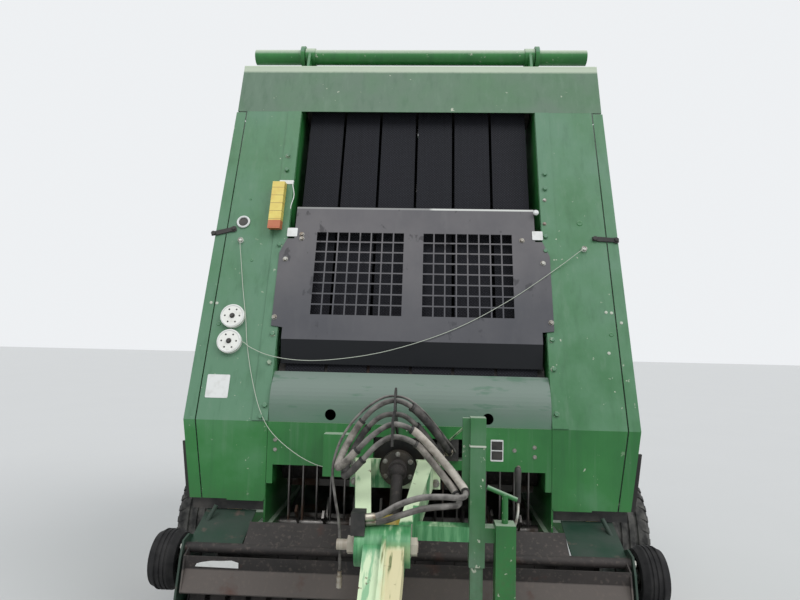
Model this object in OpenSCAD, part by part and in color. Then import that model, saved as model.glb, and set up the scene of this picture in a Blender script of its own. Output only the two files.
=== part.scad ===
// Round baler with a belt chamber, a hinged tailgate and a lifting pickup.
// The drawbar points along -Y, +Z is up and the floor is at z = 0.

/* [Body shell] */
// Front face of the lower panels, along Y
front_y = -333; // [-360:1:-310]
// Bottom edge of the side panels
skirt_z = 810; // [800:5:840]
// Height where the front folds from upright to leaning back
bend_z = 1143; // [1130:1:1160]
// Top of the hood's face
hood_top_z = 2985; // [2960:5:3010]
// How far the leaning front runs back over its height
lean_run = 530; // [500:5:550]
// Seam under the hood
hood_seam_z = 2706; // [2690:2:2720]
// Half width of the body at the fold
body_half_low = 985; // [970:1:1000]
// Half width of the body at the top
body_half_top = 955; // [945:1:965]
// Half width of the body at the skirt
body_half_skirt = 940; // [930:1:960]
// Sheet thickness of the shell
sheet_t = 5; // [4:0.5:6]
// Gap round the side covers
seam = 6; // [5:0.5:8]
// Strip of each side cover that wraps onto the front
wrap_w = 50; // [40:1:60]

/* [Chamber] */
// Half width between the chamber walls
chamber_half = 610; // [600:1:620]
// Chamber wall thickness
wall_t = 8; // [6:0.5:10]
// Bottom edge of the chamber walls
wall_low_z = 700; // [700:1:705]
// Top edge of the chamber walls
wall_top_z = 2976; // [2970:1:2978]
// Gate hinge, along Y
hinge_y = 400; // [390:1:410]
// Gate hinge height
hinge_z = 3143; // [3130:1:3155]
// Gate hinge tube radius
hinge_r = 42; // [38:1:46]
// How far the split between body and gate runs back at the skirt
split_run = 300; // [290:1:320]
// Gap at the split
split_gap = 12; // [10:1:16]
// Rearmost point of the gate
gate_rear_y = 2050; // [2030:5:2060]
// Number of belts
belt_count = 6; // [6:1:6]
// Width of a belt
belt_w = 178; // [170:1:182]
// Gap between belts
belt_gap = 14; // [12:1:16]
// Belt thickness
belt_t = 8; // [6:0.5:10]
// Radius of the belt rollers
roller_r = 90; // [80:1:95]

/* [Frame and axle] */
// Axle, along Y
axle_y = 850; // [820:5:880]
// Outer radius of the main tyres
tyre_r = 380; // [370:1:390]
// Width of the main tyres
tyre_w = 264; // [250:1:275]
// Outer face of the main tyres
track_half = 1340; // [1320:1:1360]
// Radius of the rims
rim_r = 195; // [190:1:200]
// Inner face of the frame rails
rail_x = 590; // [586:1:594]
// Width of the frame rails
rail_w = 60; // [50:1:64]
// Height of the frame rails
rail_h = 100; // [90:1:110]

/* [Pickup] */
// Pickup reel centre, along Y
reel_y = -430; // [-440:1:-425]
// Pickup reel centre height with the pickup raised
reel_z = 440; // [436:1:450]
// Radius to the tips of the tines
tine_r = 170; // [160:1:172]
// Pickup half width between its side plates
pickup_half = 870; // [860:1:875]
// Lift pivot, along Y
lift_y = 150; // [140:5:160]
// Lift pivot height
lift_z = 560; // [555:1:565]
// Number of stripper bands
band_count = 21; // [17:2:23]
// Gauge wheel radius
gauge_r = 118; // [112:1:125]
// Gauge wheel width
gauge_w = 110; // [95:1:115]

/* [Drawbar and stands] */
// Sideways place of the drawbar
drawbar_x = -55; // [-60:1:-50]
// Drawbar head, along Y
head_y = -920; // [-930:1:-910]
// Drawbar head height
head_z = 835; // [830:1:840]
// Drawbar head radius
head_r = 65; // [60:1:68]
// Drawbar eye, along Y
eye_y = -2002; // [-2010:1:-1990]
// Drawbar eye height
eye_z = 430; // [425:1:440]
// Drawbar eye bore radius
eye_bore_r = 25.5; // [24:0.5:27]
// Jack, along X
jack_x = 350; // [340:1:360]
// Jack, along Y
jack_y = -800; // [-810:1:-790]
// Width of the jack's outer tube
jack_w = 68; // [64:1:72]

/* [Hidden] */
$fn = 48;
paint = "#2c7a3c";
pale_paint = "#7fae85";
black = "#1d1f20";
grey = "#6c6a68";
steel = "#8f8f8c";
rust = "#6b4c3c";
yellow = "#d9b13c";
white = "#e8e6dc";

lean = lean_run / (hood_top_z - bend_z);
slit = 0.3;
fit = 0.06;
deck_z = hood_top_z + 15;
function front_at(z) = front_y + max(0, z - bend_z) * lean;
function split_at(z) = hinge_y + (hinge_z - z) * split_run / (hinge_z - skirt_z);
function half_at(z) = z < bend_z
    ? body_half_skirt + (body_half_low - body_half_skirt) * (z - skirt_z) / (bend_z - skirt_z)
    : body_half_low + (body_half_top - body_half_low) * (z - bend_z) / (hood_top_z - bend_z);
function arc(c, r, a0, a1, n) = [for (i = [0:n]) let (a = a0 + (a1 - a0) * i / n) c + r * [cos(a), sin(a)]];

// A flat outline drawn in (y, z), t thick towards +X from x
module yz(x, t) {
    translate([x, 0, 0])
        rotate([90, 0, 90])
            linear_extrude(t) children();
}

// A flat outline drawn in (x, z), t thick towards +Y from y
module xz(y, t) {
    translate([0, y + t, 0])
        rotate([90, 0, 0])
            linear_extrude(t) children();
}

// A block from its lowest to its highest values on each axis
module block(x, y, z) {
    translate([x[0], y[0], z[0]])
        cube([x[1] - x[0], y[1] - y[0], z[1] - z[0]]);
}

// A round bar along X
module bar_x(y, z, r, x) {
    translate([x[0], y, z])
        rotate([0, 90, 0])
            cylinder(r = r, h = x[1] - x[0]);
}

// A round bar from one spot to another
module rod_between(a, b, r) {
    d = b - a;
    translate(a)
        rotate([0, acos(d[2] / norm(d)), atan2(d[1], d[0])])
            cylinder(r = r, h = norm(d));
}

// A shape and its mirror image on the other side
module pair() {
    children();
    mirror([1, 0, 0]) children();
}

// Angle of the outward normal where a tight loop runs from circle a to circle b, each [y, z, r]
function tangent(a, b) = atan2(b[1] - a[1], b[0] - a[0]) - acos((a[2] - b[2]) / norm([b[0] - a[0], b[1] - a[1]]));

// A tight loop round circles listed anticlockwise, g outside them
function loop_points(c, g) = let (n = len(c)) [
    for (i = [0:n - 1])
        let (
            a0 = tangent(c[(i + n - 1) % n], c[i]),
            sweep = ((tangent(c[i], c[(i + 1) % n]) - a0) % 360 + 360) % 360,
            steps = ceil(sweep / 7.5)
        )
        for (k = [0:steps])
            [c[i][0], c[i][1]] + (c[i][2] + g) * [cos(a0 + sweep * k / steps), sin(a0 + sweep * k / steps)]
];

// CHAMBER
module front_wall_outline() {
    inset = sheet_t + slit;
    polygon([
        [front_y + inset, wall_low_z],
        [front_y + inset, bend_z],
        [front_at(wall_top_z - 70) + inset, wall_top_z - 70],
        [front_at(wall_top_z) + 60, wall_top_z],
        [split_at(wall_top_z) - split_gap / 2, wall_top_z],
        [split_at(wall_low_z) - split_gap / 2, wall_low_z]
    ]);
}

module chamber_walls() {
    rib_w = 50;
    color(paint)
        pair() {
            yz(chamber_half, wall_t) front_wall_outline();
            yz(chamber_half + wall_t - 1, 25)
                polygon([
                    [split_at(wall_top_z - 40) - split_gap / 2 - rib_w, wall_top_z - 40],
                    [split_at(wall_top_z - 40) - split_gap / 2, wall_top_z - 40],
                    [split_at(wall_low_z + 20) - split_gap / 2, wall_low_z + 20],
                    [split_at(wall_low_z + 20) - split_gap / 2 - rib_w, wall_low_z + 20]
                ]);
        }
}

// The sheet under the chamber bends round the feeder; stripper plates stand between the feeder's tines
module chamber_floor() {
    t = 5;
    sweep_r = feeder_r + 12;
    c = [feeder_y, feeder_z];
    back = [[25, 658], [450, 716]];
    comb_y = [front_y + 98, front_y + 128];
    comb_z = [700, 951];
    carrier_z = [950, 975];
    comb_pitch = feeder_pitch / 2;
    color(steel) {
        yz(-rail_x + slit, 2 * (rail_x - slit))
            polygon(concat(
                arc(c, sweep_r, 245, 330, 10), back,
                [back[1] - [0, t], back[0] + [t, -t]], arc(c, sweep_r + t, 330, 245, 10)
            ));
        block([-chamber_half + slit, chamber_half - slit], [-20, -15], [1168, 1290]);
        for (x = [[-chamber_half + slit, drawbar_x - 127], [drawbar_x + 157, chamber_half - slit]]) {
            block(x, [front_y + 80, comb_y[1]], carrier_z);
            for (i = [-9:8])
                if ((i + 0.5) * comb_pitch - 3 > x[0] && (i + 0.5) * comb_pitch + 3 < x[1])
                    block([(i + 0.5) * comb_pitch - 3, (i + 0.5) * comb_pitch + 3], comb_y, comb_z);
        }
    }
}

// FRONT SHELL
opening_half = 612;
module front_strip(z0, z1, t, y_off) {
    polygon([
        [front_at(z0) + y_off, z0], [front_at(max(z0, bend_z)) + y_off, max(z0, bend_z)],
        [front_at(z1) + y_off, z1], [front_at(z1) + y_off + t, z1],
        [front_at(max(z0, bend_z)) + y_off + t, max(z0, bend_z)], [front_at(z0) + y_off + t, z0]
    ]);
}

module front_panels() {
    z1 = hood_seam_z;
    inner = chamber_half + wall_t;
    color(paint)
        pair() {
            intersection() {
                yz(opening_half, body_half_low - opening_half) front_strip(skirt_z, z1, sheet_t, 0);
                xz(front_y - 50, lean_run + 200)
                    polygon([
                        [opening_half, skirt_z], [body_half_skirt - wrap_w - seam, skirt_z],
                        [body_half_low - wrap_w - seam, bend_z], [half_at(z1) - wrap_w - seam, z1],
                        [opening_half, z1]
                    ]);
            }
            yz(opening_half, 70) front_strip(bend_z + 4, z1, 5, -5);
            yz(inner + slit, 5) front_strip(skirt_z, z1, 45, sheet_t);
            block([inner + slit, inner + 160], [front_y, front_y + 60], [skirt_z - 6, skirt_z]);
        }
}

module hood() {
    z0 = hood_seam_z + slit;
    z1 = hood_top_z;
    round_r = deck_z - hood_top_z;
    y1 = front_at(z1);
    deck_end = hinge_y - 30;
    x1 = body_half_top;
    t = sheet_t;
    outer = concat(
        [[front_at(z0), z0], [y1, z1]],
        arc([y1 + round_r, z1], round_r, 180, 90, 8),
        [[deck_end, deck_z]]
    );
    inner = concat(
        [[deck_end, deck_z - t]],
        arc([y1 + round_r, z1], round_r - t, 90, 180, 8),
        [[front_at(z0) + t, z0]]
    );
    color(paint) {
        yz(-x1, 2 * x1) polygon(concat(outer, inner));
        pair() yz(x1 - t, t) polygon(concat(outer, [[deck_end, z0]]));
    }
}

module curved_cover() {
    z0 = bend_z + slit;
    z1 = 1400;
    x1 = chamber_half - slit;
    t = 4;
    depth = front_at(z1) + 118 - front_y;
    hole_x = 340;
    hole_r = 24;
    outer = concat([[front_y + 4, z0]], arc([front_y + depth, z0 + 60], depth - 4, 180, 125, 10));
    back = [for (i = [len(outer) - 1:-1:0]) outer[i] + [t, i == 0 ? 0 : -t * 0.6]];
    color(pale_paint)
        difference() {
            yz(-x1, 2 * x1) polygon(concat(outer, back));
            for (x = [-hole_x, hole_x])
                translate([x, front_y - 20, z0 + 35])
                    rotate([-90, 0, 0]) cylinder(r = hole_r, h = 80);
        }
}

beam_low_z = 960;
hose_block_x = [125, 215];
hose_block_z = 1000;
module front_beam() {
    beam_d = 80;
    arch = [drawbar_x - 95, drawbar_x + 125];
    arch_z = bend_z - 53;
    color(paint) {
        difference() {
            block([-chamber_half, chamber_half], [front_y, front_y + beam_d], [beam_low_z, bend_z]);
            block(arch, [front_y - 1, front_y + beam_d + 1], [beam_low_z - 1, arch_z]);
            block([arch[1] - 1, hose_block_x[1] + 20], [front_y - 1, front_y + beam_d + 1], [hose_block_z, arch_z]);
        }
        pair()
            block([chamber_half - 26, chamber_half], [front_y, front_y + beam_d], [skirt_z + 70, beam_low_z]);
        block([-356, -251], [front_y - 60, front_y], [930, 1105]);
    }
}

// The two grilles have eight by eight square holes
module guard_panel() {
    t = 5;
    z0 = 1503;
    z1 = 2154;
    tilt = atan(lean);
    face_y = -(5 + slit + t) / cos(tilt) - 0.1;
    win_n = 8;
    pitch = 53.5;
    hole = 47;
    win_x0 = 47;
    win_z0 = 1618;
    ear_half = 643;
    top_half = 578;
    color(grey)
        translate([0, front_at(z0) + face_y, z0])
            rotate([-tilt, 0, 0])
                union() {
                    difference() {
                        xz(0, t)
                            polygon([
                                [-590, 0], [590, 0], [590, 55], [ear_half, 62], [ear_half, 430], [top_half + 34, 505],
                                [top_half, 505], [top_half, (z1 - z0) / cos(tilt)], [-top_half, (z1 - z0) / cos(tilt)],
                                [-top_half, 505], [-top_half - 34, 505], [-ear_half, 430], [-ear_half, 62], [-590, 55]
                            ]);
                        for (side = [0, 1], i = [0:win_n - 1], j = [0:win_n - 1]) {
                            x = win_x0 + i * pitch;
                            z = (win_z0 - z0) / cos(tilt) + j * pitch;
                            block(side == 0 ? [x, x + hole] : [-x - hole, -x], [-1, t + 1], [z, z + hole]);
                        }
                    }
                    rotate([22, 0, 0]) block([-590, 590], [0, t], [-112, 0]);
                    pair() block([top_half - 8, top_half], [t, 45], [505, 640]);
                }
}

belt_pitch = belt_w + belt_gap;
function belt_x(i) = (i - (belt_count - 1) / 2) * belt_pitch - belt_w / 2;
front_loop = [
    [front_at(1330) + 150, 1330, roller_r],
    [front_at(2780) + 165, 2780, roller_r]
];
belt_clear = 0.6;

module belts(loop) {
    for (i = [0:belt_count - 1])
        yz(belt_x(i), belt_w)
            difference() {
                polygon(loop_points(loop, belt_clear + belt_t));
                polygon(loop_points(loop, belt_clear));
            }
}

module front_belts() {
    color(black) belts(front_loop);
}

module rollers(loop) {
    for (c = loop) {
        bar_x(c[0], c[1], c[2], [-chamber_half + 8, chamber_half - 8]);
        bar_x(c[0], c[1], 25, [-chamber_half, chamber_half]);
    }
}

module front_rollers() {
    color(steel) {
        rollers(front_loop);
        for (c = [[front_y + 285, 1095, 70], [front_y + 330, 900, 70]]) {
            bar_x(c[0], c[1], c[2], [-chamber_half + 8, chamber_half - 8]);
            bar_x(c[0], c[1], 25, [-chamber_half, chamber_half]);
        }
    }
}

module hinge_tube() {
    arm_x = chamber_half + wall_t + 4;
    color(paint) {
        bar_x(hinge_y, hinge_z, hinge_r, [-body_half_top + 4, body_half_top - 4]);
        pair() {
            yz(arm_x, 14)
                polygon([
                    [hinge_y - 110, deck_z + slit], [hinge_y - 32, deck_z + slit], [hinge_y + 20, hinge_z - 20],
                    [hinge_y, hinge_z + hinge_r - 4], [hinge_y - 40, hinge_z + 30]
                ]);
            bar_x(hinge_y, hinge_z, hinge_r + 8, [arm_x - 20, arm_x + 34]);
        }
    }
}

// FRAME
rail_top_z = wall_low_z;
rail_low_z = rail_top_z - rail_h;
rail_front_y = -300;
rail_out = rail_x + rail_w;
rail_rear_y = axle_y + 150;
cyl_foot = [560, 745];
cyl_x = 700;
pin_r = 20;
lift_pin_r = 15;
lift_arm_x = 662;
lift_arm_t = 14;
feeder_y = -130;
feeder_z = 655;
feeder_r = 121;
feeder_pitch = 125;
module main_frame() {
    color(paint) {
        pair() {
            block([rail_x, rail_out], [rail_front_y, rail_rear_y], [rail_low_z, rail_top_z]);
            yz(rail_out, 10)
                polygon([
                    [cyl_foot[0] - 70, rail_low_z + 10], [cyl_foot[0] + 70, rail_low_z + 10],
                    [cyl_foot[0] + 40, cyl_foot[1] + 40], [cyl_foot[0] - 40, cyl_foot[1] + 40]
                ]);
            bar_x(cyl_foot[0], cyl_foot[1], pin_r + 8, [rail_out, cyl_x - 22]);
            bar_x(cyl_foot[0], cyl_foot[1], pin_r, [rail_out, cyl_x + 34]);
            yz(rail_x, 12)
                polygon([
                    [lift_y - 60, rail_low_z], [lift_y + 60, rail_low_z],
                    [lift_y + 28, lift_z - 28], [lift_y - 28, lift_z - 28]
                ]);
            bar_x(lift_y, lift_z, lift_pin_r, [rail_x, lift_arm_x + lift_arm_t + 8]);
        }
        block([-rail_x, rail_x], [rail_front_y + 340, rail_front_y + 400], [rail_low_z + 5, rail_low_z + 50]);
        block([-rail_x, rail_x], [rail_rear_y - 60, rail_rear_y], [rail_low_z + 20, rail_top_z - 20]);
    }
}

hub_x = track_half - tyre_w / 2;
spindle_r = 30;
module axle() {
    w = 90;
    color(paint) {
        block([-hub_x + 190, hub_x - 190], [axle_y - w / 2, axle_y + w / 2], [tyre_r - w / 2, tyre_r + w / 2]);
        pair() {
            bar_x(axle_y, tyre_r, spindle_r, [hub_x - 190, hub_x + 60]);
            bar_x(axle_y, tyre_r, spindle_r + 20, [hub_x - 190, hub_x - 150]);
            yz(rail_x + 4, rail_w - 8)
                polygon([
                    [axle_y - 45, tyre_r + w / 2], [axle_y + 45, tyre_r + w / 2],
                    [axle_y + 110, rail_low_z], [axle_y - 110, rail_low_z]
                ]);
        }
    }
}

// DRIVE
pto_x = drawbar_x + 15;
pto_z = 968;
module gearbox() {
    beam_back = front_y + 80;
    color(black) {
        block([pto_x - 85, pto_x + 85], [beam_back, beam_back + 110], [pto_z - 95, pto_z + 105]);
        block([drawbar_x - 125, drawbar_x + 155], [beam_back, beam_back + 12], [pto_z - 40, pto_z + 150]);
        translate([pto_x, beam_back - 90, pto_z])
            rotate([-90, 0, 0]) cylinder(r = 55, h = 90);
        translate([pto_x, beam_back - 130, pto_z])
            rotate([-90, 0, 0]) cylinder(r = 73, h = 40);
    }
}

// The driveline lies where it was dropped, its front end on the floor
shaft_tilt = 45;
joint_y = front_y - 100;
module pto_axis() {
    translate([pto_x, joint_y, pto_z])
        rotate([90 + shaft_tilt, 0, 0]) children();
}

guard_r = 38;
shaft_len = (pto_z - 0.1) / cos(shaft_tilt) - 4;
module pto_shaft() {
    color(rust) {
        pto_axis() {
            cylinder(r = 24, h = shaft_len - 60);
            translate([0, 0, shaft_len - 90]) cylinder(r = 34, h = 60);
        }
        translate([pto_x, joint_y - 5, pto_z]) sphere(r = 32);
        translate([pto_x, joint_y - 10, pto_z])
            rotate([-90, 0, 0]) cylinder(r = 40, h = front_y + 80 - 130 - joint_y + 10 - slit);
    }
}

module pto_guard() {
    color(yellow)
        pto_axis()
            difference() {
                union() {
                    translate([0, 0, 300]) cylinder(r = guard_r, h = 720);
                    translate([0, 0, 220]) cylinder(r1 = 56, r2 = guard_r, h = 100);
                    translate([0, 0, 1010]) cylinder(r1 = guard_r, r2 = 56, h = 110);
                }
                translate([0, 0, 200]) cylinder(r = 24.4, h = 1000);
            }
}

// DRAWBAR
arm_root_y = front_y - 12;
arm_end_y = head_y + 40;
head_x = [drawbar_x - 96, drawbar_x + 84];
module drawbar() {
    post_side = post_x - post_w / 2;
    color(pale_paint) {
        difference() {
            block([drawbar_x - 190, drawbar_x + 195], [arm_root_y, front_y], [880, 1000]);
            translate([pto_x, arm_root_y - 10, pto_z])
                rotate([-90, 0, 0]) cylinder(r = 81, h = 40);
        }
        difference() {
            union() {
                intersection() {
                    translate([0, 0, 700])
                        linear_extrude(400) {
                            polygon([
                                [drawbar_x - 168, arm_root_y], [drawbar_x - 102, arm_root_y],
                                [drawbar_x - 50, arm_end_y], [drawbar_x - 104, arm_end_y]
                            ]);
                            polygon([
                                [drawbar_x + 100, arm_root_y], [drawbar_x + 166, arm_root_y],
                                [drawbar_x + 84, arm_end_y], [drawbar_x + 40, arm_end_y]
                            ]);
                        }
                    yz(drawbar_x - 300, 600)
                        polygon([
                            [arm_root_y, 998], [arm_root_y, head_z + 55], [arm_end_y, head_z - 52], [arm_end_y, head_z + 50]
                        ]);
                }
                bar_x(head_y, head_z, head_r, head_x);
                block([drawbar_x + 60, post_side], [post_y - 26, post_y + 26], [head_z - 20, head_z + 30]);
            }
            bar_x(head_y, head_z, 17, [drawbar_x - 110, drawbar_x + 110]);
        }
    }
}

module drawbar_tube() {
    root_y = head_y - 20;
    nose_y = eye_y + 60;
    color(pale_paint)
        difference() {
            union() {
                intersection() {
                    translate([0, 0, 300])
                        linear_extrude(700)
                            polygon([
                                [drawbar_x - 67, root_y], [drawbar_x + 67, root_y],
                                [drawbar_x + 36, nose_y], [drawbar_x - 36, nose_y]
                            ]);
                    yz(drawbar_x - 100, 200)
                        polygon([
                            [root_y, head_z + 40], [root_y, head_z - 60], [nose_y, eye_z - 32], [nose_y, eye_z + 34]
                        ]);
                }
                yz(drawbar_x - 7, 14)
                    polygon([
                        [root_y, head_z + 58], [root_y, head_z + 20], [nose_y + 20, eye_z + 20], [nose_y + 20, eye_z + 40]
                    ]);
                block([drawbar_x - 30, drawbar_x + 30], [eye_y, nose_y + 2], [eye_z - 20, eye_z + 20]);
                translate([drawbar_x, eye_y, eye_z - 22]) cylinder(r = 48, h = 44);
            }
            bar_x(head_y, head_z, head_r + slit, [drawbar_x - 200, drawbar_x + 200]);
            translate([drawbar_x, eye_y, eye_z - 40]) cylinder(r = eye_bore_r, h = 80);
        }
    color(steel) {
        bar_x(head_y, head_z, 16.9, [head_x[0] - 62, head_x[1] + 25]);
        translate([head_x[0] - 26, head_y, head_z])
            rotate([0, 90, 0]) cylinder(r = 30, h = 26 - slit, $fn = 6);
        translate([head_x[1] + slit, head_y, head_z])
            rotate([0, 90, 0]) cylinder(r = 30, h = 22, $fn = 6);
    }
}

// STANDS
post_x = 256;
post_w = 54;
post_y = jack_y + 30;
post_low_z = 730;
post_top_z = 1240;
module square_tube(x, y, w, t, z0, z1) {
    difference() {
        block([x - w / 2, x + w / 2], [y - w / 2, y + w / 2], [z0, z1]);
        block([x - w / 2 + t, x + w / 2 - t], [y - w / 2 + t, y + w / 2 - t], [z0 - 1, z1 - 6]);
    }
}

module jack_post() {
    color(paint) {
        square_tube(post_x, post_y, post_w, 5, post_low_z, post_top_z);
        block([post_x - post_w / 2 - 26, post_x - post_w / 2 + 1], [post_y - 4, post_y + 18], [960, 1236]);
        block(
            [post_x + post_w / 2, jack_x - jack_w / 2], [post_y - 26, post_y + 26],
            [head_z - 20, head_z + 30]
        );
    }
}

module stand_leg() {
    w = post_w - 11;
    low_z = 300;
    color(paint) {
        block([post_x - w / 2, post_x + w / 2], [post_y - w / 2, post_y + w / 2], [low_z, 1130]);
        block([post_x - 75, post_x + w / 2], [post_y - w / 2, post_y + 70], [low_z - 8, low_z + 2]);
    }
}

jack_top_z = 885;
module jack_tube() {
    color(paint)
        difference() {
            block(
                [jack_x - jack_w / 2, jack_x + jack_w / 2], [jack_y - jack_w / 2, jack_y + jack_w / 2],
                [300, jack_top_z]
            );
            block(
                [jack_x - jack_w / 2 + 5, jack_x + jack_w / 2 - 5],
                [jack_y - jack_w / 2 + 5, jack_y + jack_w / 2 - 5], [299, jack_top_z - 5]
            );
        }
    color(pale_paint) {
        translate([jack_x, jack_y, jack_top_z - 1]) cylinder(r = 11, h = 98);
        rod_between([jack_x - 62, jack_y, jack_top_z + 120], [jack_x + 41, jack_y, jack_top_z + 80], 8);
    }
}

module jack_leg() {
    w = jack_w - 11;
    color(steel) {
        block([jack_x - w / 2, jack_x + w / 2], [jack_y - w / 2, jack_y + w / 2], [12, 580]);
        translate([jack_x, jack_y, 0]) cylinder(r = 66, h = 12);
    }
}

// TRIM
module flap() {
    z1 = 1035;
    low_z = 790;
    xz(front_y + 80, 16)
        polygon([
            [body_half_skirt + slit, skirt_z], [half_at(z1) + slit, z1], [half_at(z1) + 46, z1], [body_half_skirt + 46, low_z],
            [body_half_skirt + slit, low_z]
        ]);
}

module flap_left() {
    color(black) mirror([1, 0, 0]) flap();
}

module flap_right() {
    color(black) flap();
}

module bale_gauge() {
    z0 = 2033;
    z1 = 2281;
    color(yellow)
        intersection() {
            yz(-705, 60) front_strip(z0, z1, 46, -51.3);
            block([-705, -645], [front_y - 100, front_y + lean_run], [z0, z1]);
        }
}

module twine_discs() {
    color(white)
        for (z = [1598, 1482])
            translate([-825, front_at(z) - slit - 0.1, z])
                rotate([90 - atan(lean), 0, 0]) cylinder(r = 55, h = 22);
    color(white)
        for (e = [[-840, 1974], [807, 1956]])
            translate([e[0], front_at(e[1]) - slit - 0.1, e[1]])
                rotate([90 - atan(lean), 0, 0]) cylinder(r = 13, h = 12);
}

// HOSES, CABLE AND TWINE
// A tube of n sides along the points p, its ends square to the directions d0 and d1
function unit(v) = v / norm(v);
function heading(p, i, d0, d1) = i == 0 ? d0 : i == len(p) - 1 ? d1 : unit(unit(p[i] - p[i - 1]) + unit(p[i + 1] - p[i]));
function carried(u, t) = unit(u - (u * t) * t);
function frames(p, d0, d1, u, i = 0) = i == len(p) ? [] : let (t = heading(p, i, d0, d1), v = carried(u, t))
    concat([[v, cross(t, v)]], frames(p, d0, d1, v, i + 1));
module tube(p, r, d0, d1, n = 8) {
    f = frames(p, d0, d1, abs(d0[0]) > 0.9 ? [0, 0, 1] : [1, 0, 0]);
    m = len(p);
    polyhedron(
        points = [for (i = [0:m - 1], k = [0:n - 1]) p[i] + r * (cos(360 * k / n) * f[i][0] + sin(360 * k / n) * f[i][1])],
        faces = concat(
            [[for (k = [0:n - 1]) k]], [[for (k = [n - 1:-1:0]) (m - 1) * n + k]],
            [for (i = [0:m - 2], k = [0:n - 1]) let (a = i * n + k, b = i * n + (k + 1) % n) [a, a + n, b + n]],
            [for (i = [0:m - 2], k = [0:n - 1]) let (a = i * n + k, b = i * n + (k + 1) % n) [a, b + n, b]]
        )
    );
}

forward = [0, -1, 0];
hose_r = 10;
hose_front_route = [
    [175, -345, 1038], [167, -417, 1062], [140, -475, 1105], [108, -528, 1151], [69, -572, 1201],
    [19, -604, 1250], [-46, -618, 1276], [-120, -611, 1247], [-173, -603, 1192], [-215, -604, 1127],
    [-245, -635, 1065], [-247, -705, 1038], [-218, -769, 1062], [-169, -791, 1115], [-114, -780, 1169],
    [-46, -760, 1205], [21, -744, 1186], [79, -737, 1136], [132, -737, 1080], [183, -755, 1025],
    [212, -814, 989], [193, -887, 988], [132, -931, 1000], [57, -946, 998], [-17, -952, 973],
    [-70, -955, 943], [-118, -955, 933]
];
hose_back_route = [
    [141, -345, 1024], [135, -419, 1043], [110, -482, 1079], [79, -536, 1124], [39, -576, 1175],
    [-14, -600, 1217], [-46, -604, 1222], [-93, -605, 1215], [-150, -600, 1168], [-191, -602, 1104],
    [-220, -631, 1040], [-224, -698, 1009], [-196, -765, 1030], [-149, -790, 1082], [-96, -781, 1137],
    [-46, -765, 1161], [38, -741, 1135], [91, -736, 1079], [141, -743, 1021], [183, -783, 973],
    [187, -856, 958], [145, -914, 966], [74, -933, 962], [0, -935, 940], [-64, -931, 916],
    [-118, -930, 911]
];
cable_route = [
    [200, -345, 1039], [188, -422, 1067], [153, -481, 1117], [111, -527, 1174], [60, -560, 1233],
    [-6, -582, 1282], [-46, -587, 1289], [-88, -590, 1285], [-160, -592, 1240], [-222, -610, 1172],
    [-258, -645, 1098], [-270, -680, 1020], [-256, -698, 930], [-238, -704, 840], [-230, -705, 668]
];
twine_long_route = [
    [807, -111.3, 1959.4], [803, -121, 1958], [706, -133, 1884], [586, -159, 1796], [445, -186, 1700],
    [200, -228, 1565], [-87, -256, 1463], [-290, -266, 1422], [-479, -270, 1408], [-636, -268, 1427],
    [-730, -256, 1463], [-770, -246.4, 1485.1]
];
twine_short_route = [
    [-840, -106.1, 1977.4], [-838, -116, 1972], [-821, -135, 1858], [-795, -173, 1726], [-764, -214, 1590],
    [-745, -243, 1480], [-694, -297, 1302], [-644, -336, 1182], [-600, -345, 1110], [-500, -349, 1024],
    [-400, -353, 972], [-356, -353, 962]
];

module hose_front() {
    color(black) tube(hose_front_route, hose_r, forward, [-1, 0, 0]);
}

module hose_back() {
    color(black) tube(hose_back_route, hose_r, forward, [-1, 0, 0]);
}

module cable() {
    color(black) tube(cable_route, 5, forward, [0, 0, -1]);
}

module cable_plug() {
    color(grey)
        translate(cable_route[len(cable_route) - 1] + [0, 0, -58]) {
            cylinder(r = 11, h = 40);
            translate([0, 0, 39]) cylinder(r = 8, h = 19);
        }
}

module twine_long() {
    color(white) tube(twine_long_route, 1.5, [0, -cos(atan(lean)), sin(atan(lean))], [-1, 0, 0]);
}

module twine_short() {
    color(white) tube(twine_short_route, 1.5, [0, -cos(atan(lean)), sin(atan(lean))], [1, 0, 0]);
}

// A block at the hoses' root, a bored plate under their arches and a saddle at their ends
module hose_holders() {
    bore_r = hose_r + 5;
    color(black) {
        block([hose_block_x[0], hose_block_x[1]], [front_y - 12, front_y + 71], [hose_block_z + slit, bend_z - 53 - slit]);
        difference() {
            yz(-50, 8)
                polygon([
                    [front_y, 1098], [front_y, 1140], [-545, 1235], [-548, 1308], [-580, 1322], [-640, 1306],
                    [-655, 1242], [-735, 1230], [-790, 1228], [-795, 1132], [-760, 1126], [-640, 1182], [-560, 1177]
                ]);
            for (c = [[-618, 1276, bore_r], [-604, 1222, bore_r], [-587, 1289, 8], [-760, 1205, bore_r], [-765, 1161, bore_r]])
                bar_x(c[0], c[1], c[2], [-60, -30]);
        }
        difference() {
            block([-163, -118 - slit], [-974, -912], [880, 950]);
            bar_x(head_y, head_z, head_r + slit, [-200, -100]);
        }
    }
}

// SIDE COVERS
cover_top_z = hood_seam_z - seam;
cover_rear_gap = 20;
hinge_pin_x = body_half_skirt - 15;
hinge_pin_gap = 45;
hinge_pin_r = 8;
knuckle_r = 14;
knuckle_h = 60;
knuckle_z = [1250, 2350];
split_tilt = atan(split_run / (hinge_z - skirt_z));

// A spot on the right cover's hinge line, turned along it
module on_cover_axis(z) {
    translate([hinge_pin_x, split_at(z) - hinge_pin_gap, z])
        rotate([split_tilt, 0, 0]) children();
}

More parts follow.
